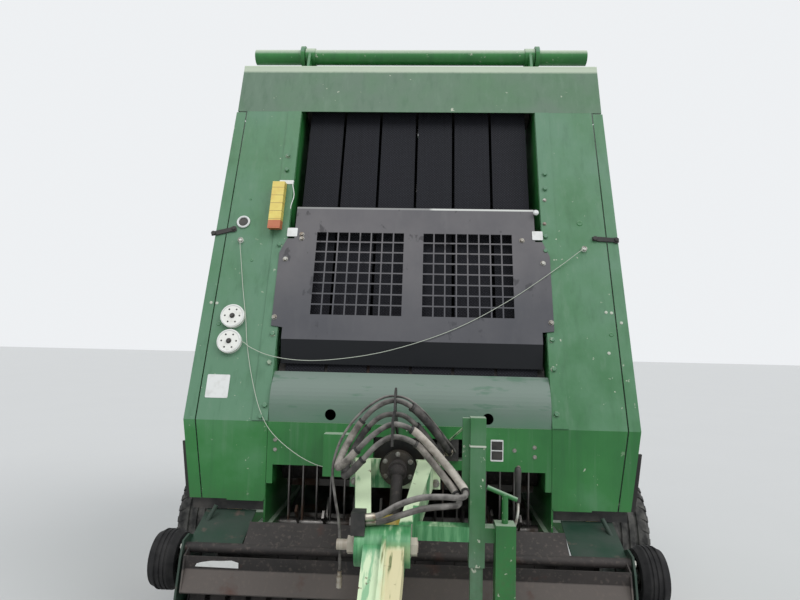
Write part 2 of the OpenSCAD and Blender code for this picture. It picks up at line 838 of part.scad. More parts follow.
module cover_hinges() {
    color(paint)
        pair()
            for (z = knuckle_z)
                on_cover_axis(z) {
                    translate([0, 0, -20 - slit]) cylinder(r = hinge_pin_r, h = knuckle_h + 26);
                    translate([0, 0, -20 - slit]) cylinder(r = knuckle_r, h = 20);
                    translate([chamber_half + wall_t + 24 - hinge_pin_x, -8, -20 - slit])
                        cube([hinge_pin_x - chamber_half - wall_t - 24, 16, 20]);
                }
}

module side_cover() {
    t = sheet_t;
    z1 = cover_top_z;
    difference() {
        union() {
            intersection() {
                xz(front_y - 10, 1400)
                    polygon([
                        [body_half_skirt, skirt_z], [body_half_low, bend_z], [half_at(z1), z1],
                        [half_at(z1) - t, z1], [body_half_low - t, bend_z], [body_half_skirt - t, skirt_z]
                    ]);
                yz(0, 2 * body_half_low)
                    polygon([
                        [front_y, skirt_z], [front_y, bend_z], [front_at(z1), z1],
                        [split_at(z1) - cover_rear_gap, z1], [split_at(skirt_z) - cover_rear_gap, skirt_z]
                    ]);
            }
            intersection() {
                yz(0, 2 * body_half_low) front_strip(skirt_z, z1, t, 0);
                xz(front_y - 10, 900)
                    polygon([
                        [body_half_skirt - wrap_w, skirt_z], [body_half_skirt, skirt_z], [body_half_low, bend_z],
                        [half_at(z1), z1], [half_at(z1) - wrap_w, z1], [body_half_low - wrap_w, bend_z]
                    ]);
            }
            for (z = knuckle_z)
                on_cover_axis(z) {
                    cylinder(r = knuckle_r, h = knuckle_h);
                    translate([0, -4, 0]) cube([half_at(z) - hinge_pin_x - t / 2, 8, knuckle_h]);
                }
        }
        for (z = knuckle_z)
            on_cover_axis(z)
                translate([0, 0, -1]) cylinder(r = hinge_pin_r + fit, h = knuckle_h + 2);
    }
}

module side_cover_left() {
    color(paint) mirror([1, 0, 0]) side_cover();
}

module side_cover_right() {
    color(paint) side_cover();
}

// GATE
gate_low_z = wall_low_z + 15;
rod_pin = [900, 2500];
module gate_wall_outline() {
    r = 160;
    polygon(concat(
        [[split_at(gate_low_z) + split_gap / 2, gate_low_z]],
        [[1450, gate_low_z]],
        arc([1700, 1010], 230, -60, -20, 4),
        [[gate_rear_y - 60, 1700]],
        arc([gate_rear_y - 60 - 420, 2300], 420, 10, 70, 8),
        [[1100, 2900]],
        [[split_at(wall_top_z) + split_gap / 2 + 40, wall_top_z], [split_at(wall_top_z) + split_gap / 2, wall_top_z]]
    ));
}

module gate_walls() {
    x0 = chamber_half;
    arm_x = chamber_half + wall_t + 44;
    color(paint)
        pair() {
            difference() {
                union() {
                    yz(x0, wall_t) gate_wall_outline();
                    yz(arm_x, 16)
                        polygon([
                            [hinge_y - 48, hinge_z - 30], [hinge_y - 48, hinge_z + 40], [hinge_y + 20, hinge_z + 55],
                            [760, 2960], [760, 2780], [540, 2780], [480, 2960]
                        ]);
                    bar_x(hinge_y, hinge_z, hinge_r + 20, [arm_x - 3, arm_x + 19]);
                    block([x0 + wall_t - 1, arm_x + 8], [560, 740], [2800, 2840]);
                    block([x0 + wall_t - 1, arm_x + 8], [560, 740], [2900, 2930]);
                    bar_x(rod_pin[0], rod_pin[1], 34, [x0 + wall_t - 1, cyl_x - 28]);
                    yz(x0 + wall_t - 1, 25)
                        polygon([
                            [split_at(wall_top_z - 60) + split_gap / 2 + 3, wall_top_z - 60],
                            [split_at(wall_top_z - 60) + split_gap / 2 + 50, wall_top_z - 60],
                            [split_at(gate_low_z + 20) + split_gap / 2 + 50, gate_low_z + 20],
                            [split_at(gate_low_z + 20) + split_gap / 2 + 3, gate_low_z + 20]
                        ]);
                }
                bar_x(hinge_y, hinge_z, hinge_r + fit, [arm_x - 4, arm_x + 20]);
            }
        }
}

gate_loop = [
    [split_at(840) + 130, 850, roller_r - 20],
    [1640, 960, roller_r],
    [gate_rear_y - 180, 1750, roller_r - 20],
    [1620, 2640, roller_r],
    [split_at(2830) + 130, 2830, roller_r - 20]
];

module gate_rollers() {
    color(steel) rollers(gate_loop);
}

module gate_belts() {
    color(black) belts(gate_loop);
}

module gate_crossbars() {
    x = [-chamber_half, chamber_half];
    color(paint) {
        bar_x(1000, 2870, 24, x);
        bar_x(gate_rear_y - 145, 1340, 26, x);
        block(x, [gate_rear_y - 90, gate_rear_y - 58], [2060, 2180]);
    }
}

module gate_tail_panel() {
    color(paint)
        block([-chamber_half - wall_t, chamber_half + wall_t], [gate_rear_y - 58, gate_rear_y - 52], [2030, 2330]);
}

module tail_lamps() {
    color("#a02020")
        pair() block([440, 580], [gate_rear_y - 52, gate_rear_y], [2150, 2230]);
}

// GATE CYLINDERS
cyl_dir = rod_pin - cyl_foot;
cyl_len = norm(cyl_dir);
cyl_tilt = atan2(cyl_dir[0], cyl_dir[1]);
barrel_len = 1330;
rod_r = 22;
module cyl_axis() {
    translate([cyl_x, cyl_foot[0], cyl_foot[1]])
        rotate([-cyl_tilt, 0, 0]) children();
}

module barrel() {
    cyl_axis()
        difference() {
            union() {
                translate([0, 0, 30]) cylinder(r = 38, h = barrel_len - 30);
                translate([-20, 0, 0]) rotate([0, 90, 0]) cylinder(r = 40, h = 40);
            }
            translate([-30, 0, 0]) rotate([0, 90, 0]) cylinder(r = pin_r + fit, h = 60);
            translate([0, 0, 70]) cylinder(r = 28, h = barrel_len - 90);
            translate([0, 0, 100]) cylinder(r = rod_r + fit, h = barrel_len);
        }
}

module rod() {
    tail = 420;
    cyl_axis() {
        translate([0, 0, tail + 20]) cylinder(r = rod_r, h = cyl_len - tail - 45);
        translate([0, 0, tail]) cylinder(r = 28 - fit, h = 50);
        translate([-20, 0, cyl_len]) rotate([0, 90, 0]) cylinder(r = 36, h = 40);
        translate([-26, 0, cyl_len]) rotate([0, 90, 0]) cylinder(r = pin_r - 3, h = 60);
    }
}

module barrel_left() {
    color(black) mirror([1, 0, 0]) barrel();
}

module barrel_right() {
    color(black) barrel();
}

module rod_left() {
    color(steel) mirror([1, 0, 0]) rod();
}

module rod_right() {
    color(steel) rod();
}

// PICKUP
guard_y = -520;
guard_z = 667;
guard_tube_r = 19;
side_t = 8;
band_pitch = 2 * (pickup_half - 20) / band_count;
band_w = band_pitch - 22;
band_r = 118;
gauge_y = -400;
gauge_z = 575;
back_y = -215;
back_z = 470;
back_r = 30;
module pickup_frame() {
    color(paint) {
        pair() {
            difference() {
                union() {
                    yz(pickup_half, side_t)
                        polygon([
                            [-610, 480], [-570, 640], [-545, 700], [-490, 710], [-330, 640], [-190, 560],
                            [-160, 440], [-260, 330], [-430, 290], [-540, 340]
                        ]);
                    yz(lift_arm_x, lift_arm_t)
                        polygon([
                            [back_y - 20, back_z - 45], [back_y - 20, back_z + 45], [lift_y - 20, lift_z + 38],
                            [lift_y + 34, lift_z + 20], [lift_y + 34, lift_z - 24], [lift_y, lift_z - 36]
                        ]);
                }
                bar_x(lift_y, lift_z, lift_pin_r + fit, [lift_arm_x - 1, lift_arm_x + lift_arm_t + 1]);
            }
            bar_x(gauge_y, gauge_z, 14, [pickup_half + side_t, 1010]);
            bar_x(gauge_y, gauge_z, 26, [pickup_half + side_t, 915]);
            rod_between([815, gauge_y + 48, 785], [905, gauge_y, gauge_z + 22], 9);
            yz(lift_arm_x - 6, pickup_half - lift_arm_x + 8)
                polygon([[-491, 670], [-300, 752], [-300, 757], [-492, 675]]);
        }
        bar_x(back_y, back_z, back_r, [-pickup_half, pickup_half]);
    }
}

module pickup_bands() {
    color(rust)
        for (i = [0:band_count - 1]) {
            x = -pickup_half + 20 + i * band_pitch + 11;
            yz(x, band_w)
                polygon(concat(
                    arc([reel_y, reel_z], band_r + 3, 20, 250, 14),
                    arc([reel_y, reel_z], band_r, 250, 20, 14)
                ));
            yz(x, band_w)
                polygon([
                    [reel_y + band_r * cos(20), reel_z + band_r * sin(20)], [back_y - back_r - slit, back_z - 3], [back_y - back_r - slit, back_z + 3],
                    [reel_y + (band_r + 3) * cos(22), reel_z + (band_r + 3) * sin(22)]
                ]);
        }
}

module pickup_reel() {
    bar_r = 85;
    color(rust) {
        bar_x(reel_y, reel_z, 24, [-pickup_half + slit, pickup_half - slit]);
        for (x = [-pickup_half + 14, -290, 290, pickup_half - 20])
            bar_x(reel_y, reel_z, bar_r + 14, [x, x + 6]);
        for (a = [0:90:270]) {
            c = [reel_y + bar_r * cos(a), reel_z + bar_r * sin(a)];
            bar_x(c[0], c[1], 11, [-pickup_half + 14, pickup_half - 14]);
            for (i = [0:band_count])
                translate([-pickup_half + 20 + i * band_pitch, c[0], c[1]])
                    rotate([a - 90 - 14, 0, 0])
                        cylinder(r = 3, h = tine_r - bar_r, $fn = 6);
        }
    }
}

module wind_guard() {
    arm_x = pickup_half - 14;
    color(rust) {
        bar_x(guard_y, guard_z, guard_tube_r, [-pickup_half + slit, pickup_half - slit]);
        yz(-640, 1280)
            polygon([
                [guard_y, guard_z + 14], [guard_y + 82, guard_z + 78], [guard_y + 79, guard_z + 82],
                [guard_y - 4, guard_z + 18]
            ]);
        yz(-arm_x, 2 * arm_x)
            polygon([
                [-578, 655], [-566, 604], [-602, 530], [-585, 520], [-590, 516], [-609, 528],
                [-573, 604], [-584, 655]
            ]);
        pair()
            yz(arm_x - 6, 6)
                polygon([
                    [guard_y, guard_z - 15], [guard_y, guard_z + 15], [-580, 655], [-609, 528], [-600, 520]
                ]);
    }
}

module ribbed_tyre(r, w, rim, groove) {
    h = w / 2;
    rotate([0, 90, 0])
        rotate_extrude($fn = 64)
            polygon([
                [rim, -h * 0.62], [rim + 14, -h * 0.8], [rim + (r - rim) * 0.45, -h], [r - (r - rim) * 0.22, -h * 0.96],
                [r - 8, -h * 0.74], [r, -h * 0.5], [r, -h * 0.42], [r - groove, -h * 0.38], [r - groove, -h * 0.3],
                [r, -h * 0.26], [r, -h * 0.06], [r - groove, -h * 0.03], [r - groove, h * 0.03], [r, h * 0.06],
                [r, h * 0.26], [r - groove, h * 0.3], [r - groove, h * 0.38], [r, h * 0.42], [r, h * 0.5],
                [r - 8, h * 0.74], [r - (r - rim) * 0.22, h * 0.96], [rim + (r - rim) * 0.45, h], [rim + 14, h * 0.8],
                [rim, h * 0.62]
            ]);
}

gauge_x = 925 + gauge_w / 2;
gauge_rim_r = 58;
module gauge_tyre() {
    translate([gauge_x, gauge_y, gauge_z]) ribbed_tyre(gauge_r, gauge_w, gauge_rim_r, 4);
}

module gauge_rim() {
    translate([gauge_x, gauge_y, gauge_z])
        rotate([0, 90, 0])
            rotate_extrude($fn = 64)
                polygon([
                    [14 + fit, -40], [26, -40], [26, -6], [gauge_rim_r - 6, -6], [gauge_rim_r - 6, -32],
                    [gauge_rim_r, -32], [gauge_rim_r, 32], [gauge_rim_r - 6, 32], [gauge_rim_r - 6, 6], [26, 6],
                    [26, 28], [14 + fit, 28]
                ]);
}

module gauge_tyre_left() {
    color(black) mirror([1, 0, 0]) gauge_tyre();
}

module gauge_tyre_right() {
    color(black) gauge_tyre();
}

module gauge_rim_left() {
    color(steel) mirror([1, 0, 0]) gauge_rim();
}

module gauge_rim_right() {
    color(steel) gauge_rim();
}

module feeder_rotor() {
    color(steel) {
        bar_x(feeder_y, feeder_z, 28, [-rail_x + slit, rail_x - slit]);
        for (i = [-4:4])
            for (a = [0, 90])
                yz(i * feeder_pitch - 5, 10)
                    translate([feeder_y, feeder_z])
                        rotate(a + i * 12) square([240, 34], center = true);
    }
}

// MAIN WHEELS
module tyre() {
    translate([hub_x, axle_y, tyre_r]) ribbed_tyre(tyre_r, tyre_w, rim_r, 10);
}

module rim() {
    w = tyre_w * 0.62;
    translate([hub_x, axle_y, tyre_r])
        rotate([0, 90, 0])
            rotate_extrude($fn = 64)
                polygon([
                    [spindle_r + fit, -110], [62, -110], [70, -20], [rim_r - 60, -14], [rim_r - 10, 20],
                    [rim_r - 10, -w / 2 + 8], [rim_r, -w / 2], [rim_r, w / 2], [rim_r - 10, w / 2 - 8],
                    [rim_r - 10, 28], [rim_r - 60, -6], [66, -12], [52, 40], [spindle_r + fit, 40]
                ]);
}

module tyre_left() {
    color(black) mirror([1, 0, 0]) tyre();
}

module tyre_right() {
    color(black) tyre();
}

module rim_left() {
    color(yellow) mirror([1, 0, 0]) rim();
}

module rim_right() {
    color(yellow) rim();
}

chamber_walls();
chamber_floor();
front_panels();
hood();
curved_cover();
front_beam();
guard_panel();
front_belts();
front_rollers();
hinge_tube();
main_frame();
axle();
gearbox();
drawbar();
drawbar_tube();
pto_shaft();
pto_guard();
jack_post();
stand_leg();
jack_tube();
jack_leg();
flap_left();
flap_right();
bale_gauge();
twine_discs();
hose_holders();
hose_front();
hose_back();
cable();
cable_plug();
twine_long();
twine_short();
cover_hinges();
side_cover_left();
side_cover_right();
gate_walls();
gate_crossbars();
gate_rollers();
gate_belts();
gate_tail_panel();
tail_lamps();
barrel_left();
barrel_right();
rod_left();
rod_right();
pickup_frame();
pickup_bands();
pickup_reel();
wind_guard();
gauge_tyre_left();
gauge_tyre_right();
gauge_rim_left();
gauge_rim_right();
feeder_rotor();
tyre_left();
tyre_right();
rim_left();
rim_right();
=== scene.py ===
import math

import bmesh
import bpy
from mathutils import Matrix, Vector


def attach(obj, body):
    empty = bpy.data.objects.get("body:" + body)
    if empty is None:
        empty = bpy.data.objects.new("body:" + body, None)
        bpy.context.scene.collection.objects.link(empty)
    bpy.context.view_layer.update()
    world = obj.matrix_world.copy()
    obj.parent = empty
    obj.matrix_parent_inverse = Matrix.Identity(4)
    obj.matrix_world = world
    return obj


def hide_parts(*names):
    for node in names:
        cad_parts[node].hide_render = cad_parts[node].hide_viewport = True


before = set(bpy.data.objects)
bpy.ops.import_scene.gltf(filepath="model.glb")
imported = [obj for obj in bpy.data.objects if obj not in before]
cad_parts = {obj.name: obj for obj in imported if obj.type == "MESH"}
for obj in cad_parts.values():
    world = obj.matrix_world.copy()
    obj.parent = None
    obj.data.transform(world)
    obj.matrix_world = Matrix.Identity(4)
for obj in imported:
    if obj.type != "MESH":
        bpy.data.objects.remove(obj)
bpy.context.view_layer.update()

# THE VIEW
# The camera stands on the ground ahead of the drawbar, at eye height, and looks a little up
# and a little to the left at the front of the baler. It is held slightly out of level.
view_from = Vector((0.06, -2.88, 1.50))
view_left = math.radians(2.45)
view_up = math.radians(4.1)
view_roll = 0.0228
lens_to_sensor = 585 / 800
ahead = Vector((-math.sin(view_left) * math.cos(view_up), math.cos(view_left) * math.cos(view_up), math.sin(view_up)))
level_right = Vector((math.cos(view_left), math.sin(view_left), 0))
level_up = level_right.cross(ahead)
right = level_right * math.cos(view_roll) + level_up * math.sin(view_roll)
above = level_up * math.cos(view_roll) - level_right * math.sin(view_roll)
camera = bpy.data.objects.new("camera", bpy.data.cameras.new("camera"))
camera.data.sensor_width = 36
camera.data.lens = 36 * lens_to_sensor
camera.data.clip_start = 0.05
camera.data.clip_end = 200
camera.matrix_world = Matrix.Translation(view_from) @ Matrix((right, above, -ahead)).transposed().to_4x4()
bpy.context.scene.collection.objects.link(camera)
bpy.context.scene.camera = camera
bpy.context.scene.view_settings.view_transform = "Standard"


# HOSES, CABLE AND TWINE
# Two hydraulic hoses and a cable arch out of their block over the gearbox. The hoses loop round
# and end in a saddle on the drawbar's head; the cable hangs down to its plug. Baler twine is
# strung from two eyelets. Each one follows the points of its own solid.
class Shade:
    """A number or colour on its way through a finish. Arithmetic on it adds the maths."""

    def __init__(self, finish, socket):
        self.finish, self.socket = finish, socket

    def maths(self, operation, first, second=0.0):
        return self.finish.node("Math", {"operation": operation}, {0: first, 1: second})

    def __add__(self, other):
        return self.maths("ADD", self, other)

    def __sub__(self, other):
        return self.maths("SUBTRACT", self, other)

    def __mul__(self, other):
        return self.maths("MULTIPLY", self, other)

    def __gt__(self, other):
        return self.maths("GREATER_THAN", self, other)


class Finish:
    """One finish of the baler. Its colours come from the place on the part, in metres."""

    def __init__(self, name, roughness=0.5, metallic=0.0):
        self.material = bpy.data.materials.new(name)
        self.material.use_nodes = True
        self.tree = self.material.node_tree
        self.shader = self.tree.nodes["Principled BSDF"]
        self.shader.inputs["Roughness"].default_value = roughness
        self.shader.inputs["Metallic"].default_value = metallic
        self.place = self.node("TexCoord", out="Object")

    def join(self, value, socket):
        if isinstance(value, Shade):
            self.tree.links.new(value.socket, socket)
        elif socket.type == "RGBA":
            socket.default_value = (*value, 1.0)
        else:
            socket.default_value = value

    def node(self, kind, settings=None, values=None, out=0):
        made = self.tree.nodes.new("ShaderNode" + kind)
        for key, value in (settings or {}).items():
            setattr(made, key, value)
        for key, value in (values or {}).items():
            self.join(value, made.inputs[key])
        return Shade(self, made.outputs[out])

    def stretched(self, x, y, z):
        return self.node("VectorMath", {"operation": "MULTIPLY"}, {0: self.place, 1: (x, y, z)}, out="Vector")

    def noise(self, scale, detail, stretch=None):
        spread = self.stretched(*stretch) if stretch else self.place
        return self.node("TexNoise", None, {"Vector": spread, "Scale": scale, "Detail": detail, "Roughness": 0.55})

    def band(self, value, low, high, first=0.0, last=1.0):
        """Spread what lies between low and high over first to last, and hold it there beyond."""
        names = {"Value": value, "From Min": low, "From Max": high, "To Min": first, "To Max": last}
        return self.node("MapRange", {"clamp": True}, names)

    def over(self, share, under, top):
        """Lay a share of one colour over another."""
        return self.node("Mix", {"data_type": "RGBA"}, {0: share, 6: under, 7: top}, out=2)

    def axis(self, name):
        return self.node("SeparateXYZ", None, {0: self.place}, out=name)

    def facing(self, name):
        return self.node("SeparateXYZ", None, {0: self.node("TexCoord", out="Normal")}, out=name)

    def show(self, colour, roughness=None, metallic=None, bump=None, depth=0.001, strength=0.4):
        for value, socket in ((colour, "Base Color"), (roughness, "Roughness"), (metallic, "Metallic")):
            if value is not None:
                self.join(value, self.shader.inputs[socket])
        if bump is not None:
            relief = {"Height": bump, "Distance": depth, "Strength": strength}
            self.join(self.node("Bump", None, relief), self.shader.inputs["Normal"])
        return self


def dress(finish, *nodes):
    """Give nodes of the frame one finish."""
    for node in nodes:
        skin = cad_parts[node].data.materials
        skin.clear()
        skin.append(finish.material)


def mottled(name, roughness, metallic, grain, ends, under, top, share=1.0, depth=0.001, strength=0.4):
    """A finish in which clouds of one colour lie over another."""
    paint = Finish(name, roughness, metallic)
    cloud = paint.noise(*grain)
    colour = paint.over(paint.band(cloud, *ends, 0.0, share), under, top)
    return paint.show(colour, bump=cloud, depth=depth, strength=strength)


class Shape:
    """A small piece: profiles turned round an axis and cut outlines with a thickness, in one mesh."""

    def __init__(self):
        self.mesh = bmesh.new()

    def turned(self, profile, spot, axis, steps=20):
        aim = Vector(axis).to_track_quat("Z", "Y").to_matrix()
        rings = []
        for radius, height in profile:
            turns = [2 * math.pi * k / steps for k in range(steps if radius else 1)]
            places = [Vector((radius * math.cos(a), radius * math.sin(a), height)) for a in turns]
            rings.append([self.mesh.verts.new(Vector(spot) + aim @ place) for place in places])
        for low, high in zip(rings, rings[1:]):
            for k in range(steps):
                pairs = ((low, k), (low, k + 1), (high, k + 1), (high, k))
                corners = list(dict.fromkeys(ring[at % len(ring)] for ring, at in pairs))
                if len(corners) > 2:
                    self.mesh.faces.new(corners)
        return self

    def ring(self, spot, axis, radius, wire, steps=28):
        turns = [2 * math.pi * k / 8 for k in range(9)]
        return self.turned([(radius + wire * math.cos(a), wire * math.sin(a)) for a in turns], spot, axis, steps)

    def bolt(self, spot, normal, across=0.018, high=0.009):
        disc, head = across * 0.72, across * 0.577
        self.turned([(0, 0), (disc, 0), (disc, 0.0016), (0, 0.0016)], spot, normal)
        crown = [(0, 0.001), (head, 0.001), (head, high * 0.8), (head * 0.84, high), (0, high)]
        return self.turned(crown, spot, normal, 6)

    def cut(self, outline, spot, across, up, thick):
        across, up = Vector(across).normalized(), Vector(up).normalized()
        out = across.cross(up) * thick
        low = [self.mesh.verts.new(Vector(spot) + across * u + up * v) for u, v in outline]
        high = [self.mesh.verts.new(corner.co + out) for corner in low]
        self.mesh.faces.new(reversed(low))
        self.mesh.faces.new(high)
        for k in range(len(low)):
            after = (k + 1) % len(low)
            self.mesh.faces.new((low[k], low[after], high[after], high[k]))
        return self

    def done(self, name, body, slot, finish, edge=0.0):
        bmesh.ops.remove_doubles(self.mesh, verts=self.mesh.verts, dist=1e-6)
        bmesh.ops.recalc_face_normals(self.mesh, faces=self.mesh.faces)
        shape = bpy.data.meshes.new(name)
        self.mesh.to_mesh(shape)
        shape.shade_smooth()
        shape.set_sharp_from_angle(angle=math.radians(35))
        piece = bpy.data.objects.new(name, shape)
        if edge:
            rounding = piece.modifiers.new("edges", "BEVEL")
            rounding.width, rounding.segments = edge, 2
        return settle(piece, body, finish)


def settle(piece, body, finish):
    """Put a new piece into the scene, with its finish, on its body."""
    bpy.context.scene.collection.objects.link(piece)
    piece.data.materials.append(finish.material)
    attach(piece, body)
    return piece


def strand(name, radius, points, start, end, body, slot, finish, sides=5):
    """A round cord or rod through its points, with the way it runs at its start and its end."""
    line = bpy.data.curves.new(name, "CURVE")
    line.dimensions, line.bevel_depth, line.bevel_resolution = "3D", radius, sides
    line.resolution_u, line.use_fill_caps = 6, True
    spline = line.splines.new("BEZIER")
    spline.bezier_points.add(len(points) - 1)
    places = [Vector(point) for point in points]
    for k, knot in enumerate(spline.bezier_points):
        before, after = places[max(k - 1, 0)], places[min(k + 1, len(places) - 1)]
        way = (places[k] - before).normalized() + (after - places[k]).normalized()
        way = Vector(start) if k == 0 else Vector(end) if k == len(places) - 1 else way
        knot.co = places[k]
        knot.handle_left = places[k] - way.normalized() * (places[k] - before).length / 3
        knot.handle_right = places[k] + way.normalized() * (after - places[k]).length / 3
    return settle(bpy.data.objects.new(name, line), body, finish)


hose_rubber = Finish("dusty_sunlit_hose", 0.85)
lint = hose_rubber.noise(26, 6)
hose_grey = hose_rubber.over(hose_rubber.band(lint, 0.36, 0.66), (0.050, 0.046, 0.043), (0.190, 0.178, 0.165))
# The upper side is painted paler: settled dust and a painted highlight from above.
sunlit = hose_rubber.band(hose_rubber.facing("Z"), 0.2, 1.0)
hose_grey = hose_rubber.over(sunlit * 0.5, hose_grey, (0.300, 0.285, 0.265))
hose_rubber.show(hose_grey, bump=hose_rubber.noise(140, 3) + lint, depth=0.0012, strength=0.5)
fitting = mottled("plated_fitting", 0.42, 0.85, (40, 4), (0.4, 0.7), (0.42, 0.39, 0.33), (0.16, 0.11, 0.07))
dress(fitting, "cable_plug")
pale_twine = Finish("pale_twine", 0.9)
lay = pale_twine.noise(900, 2)
pale_twine.show(pale_twine.over(lay, (0.36, 0.40, 0.33), (0.54, 0.57, 0.49)), bump=lay, depth=0.0004)
black_holder = mottled("black_holder", 0.55, 0.0, (12, 5), (0.4, 0.7), (0.012, 0.012, 0.012), (0.055, 0.050, 0.045))
dress(black_holder, "hose_holders")

hose_routes = {
    "hose_front": [
        (0.175, -0.345, 1.038), (0.167, -0.417, 1.062), (0.140, -0.475, 1.105), (0.108, -0.528, 1.151),
        (0.069, -0.572, 1.201), (0.019, -0.604, 1.250), (-0.046, -0.618, 1.276), (-0.120, -0.611, 1.247),
        (-0.173, -0.603, 1.192), (-0.215, -0.604, 1.127), (-0.245, -0.635, 1.065), (-0.247, -0.705, 1.038),
        (-0.218, -0.769, 1.062), (-0.169, -0.791, 1.115), (-0.114, -0.780, 1.169), (-0.046, -0.760, 1.205),
        (0.021, -0.744, 1.186), (0.079, -0.737, 1.136), (0.132, -0.737, 1.080), (0.183, -0.755, 1.025),
        (0.212, -0.814, 0.989), (0.193, -0.887, 0.988), (0.132, -0.931, 1.000), (0.057, -0.946, 0.998),
        (-0.017, -0.952, 0.973), (-0.070, -0.955, 0.943), (-0.118, -0.955, 0.933)
    ],
    "hose_back": [
        (0.141, -0.345, 1.024), (0.135, -0.419, 1.043), (0.110, -0.482, 1.079), (0.079, -0.536, 1.124),
        (0.039, -0.576, 1.175), (-0.014, -0.600, 1.217), (-0.046, -0.604, 1.222), (-0.093, -0.605, 1.215),
        (-0.150, -0.600, 1.168), (-0.191, -0.602, 1.104), (-0.220, -0.631, 1.040), (-0.224, -0.698, 1.009),
        (-0.196, -0.765, 1.030), (-0.149, -0.790, 1.082), (-0.096, -0.781, 1.137), (-0.046, -0.765, 1.161),
        (0.038, -0.741, 1.135), (0.091, -0.736, 1.079), (0.141, -0.743, 1.021), (0.183, -0.783, 0.973),
        (0.187, -0.856, 0.958), (0.145, -0.914, 0.966), (0.074, -0.933, 0.962), (0.000, -0.935, 0.940),
        (-0.064, -0.931, 0.916), (-0.118, -0.930, 0.911)
    ],
}


def woven(name, dirty, dusty, bleached):
    """The cloth of a sleeve: fluffy, with a fine weave, and paler on top with dust and a painted highlight."""
    cloth = Finish(name, 0.95)
    wave = {"Vector": cloth.place, "Scale": 160.0, "Distortion": 3.0}
    weave = cloth.node("TexWave", {"wave_type": "BANDS"}, wave)
    fluff = cloth.noise(30, 6)
    grey = cloth.over(cloth.band(fluff, 0.36, 0.64), dirty, dusty)
    # The side that looks up is painted paler: settled dust and a painted highlight from above.
    grey = cloth.over(cloth.band(cloth.facing("Z"), 0.1, 0.9) * 0.5, grey, bleached)
    return cloth.show(grey, bump=fluff + weave * 0.25, depth=0.0025, strength=0.6)


textile = woven("dusty_sleeve", (0.110, 0.098, 0.088), (0.330, 0.300, 0.265), (0.420, 0.390, 0.350))
pale_textile = woven("bleached_sleeve", (0.270, 0.240, 0.205), (0.520, 0.475, 0.420), (0.640, 0.600, 0.540))
rubber_sleeve = Finish("ribbed_sleeve", 0.85)
chafe = rubber_sleeve.noise(22, 6)
rib_wave = {"Vector": rubber_sleeve.place, "Scale": 90.0, "Distortion": 1.0}
ribs = rubber_sleeve.node("TexWave", {"wave_type": "BANDS"}, rib_wave)
dark_sleeve = rubber_sleeve.over(rubber_sleeve.band(chafe, 0.38, 0.66), (0.030, 0.028, 0.028), (0.120, 0.110, 0.102))
rubber_sleeve.show(dark_sleeve, bump=chafe + ribs * 0.4, depth=0.002, strength=0.6)


def heading(route, k):
    """The way a route runs at one of its knots."""
    before, here, after = Vector(route[k - 1]), Vector(route[k]), Vector(route[k + 1])
    return ((here - before).normalized() + (after - here).normalized()).normalized()


hose_radius, cable_radius, twine_radius = 0.010, 0.005, 0.0015
# first and last knot of each sleeve, its radius and its finish
sleeves = {
    "hose_front": ((1, 5, 0.0160, rubber_sleeve), (8, 13, 0.0135, textile), (16, 20, 0.0145, pale_textile)),
    "hose_back": ((1, 4, 0.0145, rubber_sleeve), (8, 13, 0.0130, rubber_sleeve), (16, 19, 0.0130, textile)),
}
for name, route in hose_routes.items():
    hose = strand(name + "_rubber", hose_radius, route, (0, -1, 0), (-1, 0, 0), "chassis", "hose_rubber", hose_rubber)
    ferrule = Shape()
    sleeve = [(0.0101, 0.0), (0.0185, 0.0), (0.0185, 0.010), (0.0135, 0.013), (0.0135, 0.040), (0.0101, 0.043)]
    ferrule.turned(sleeve, route[0], (0, -1, 0.05), 6)
    ferrule.turned([(0.0101, 0.0), (0.0130, 0.001), (0.0130, 0.030), (0.0101, 0.034)], route[-1], (1, 0, 0.12))
    ends = ferrule.done(name + "_ferrules", "chassis", "black_paint", fitting)
    covers, bands = [], Shape()
    for first, last, radius, cloth in sleeves[name]:
        span = route[first:last + 1]
        title = "%s_sleeve_%d" % (name, first)
        ways = (heading(route, first), heading(route, last))
        covers.append(strand(title, radius, span, *ways, "chassis", "hose_rubber", cloth, 4))
        outer = radius + 0.0012
        for k in (first, last):
            band = [(hose_radius, -0.005), (outer, -0.004), (outer, 0.004), (hose_radius, 0.005)]
            bands.turned(band, route[k], heading(route, k), 16)
    ties = bands.done(name + "_bands", "chassis", "black_paint", black_holder)
    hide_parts(name)

cable_route = [
    (0.200, -0.345, 1.039), (0.188, -0.422, 1.067), (0.153, -0.481, 1.117), (0.111, -0.527, 1.174),
    (0.060, -0.560, 1.233), (-0.006, -0.582, 1.282), (-0.046, -0.587, 1.289), (-0.088, -0.590, 1.285),
    (-0.160, -0.592, 1.240), (-0.222, -0.610, 1.172), (-0.258, -0.645, 1.098), (-0.270, -0.680, 1.020),
    (-0.256, -0.698, 0.930), (-0.238, -0.704, 0.840), (-0.230, -0.705, 0.668)
]
plug_way = (0, 0, -1)
cable = strand("cable_sheath", cable_radius, cable_route, (0, -1, 0), plug_way, "chassis", "hose_rubber", hose_rubber)
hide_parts("cable")

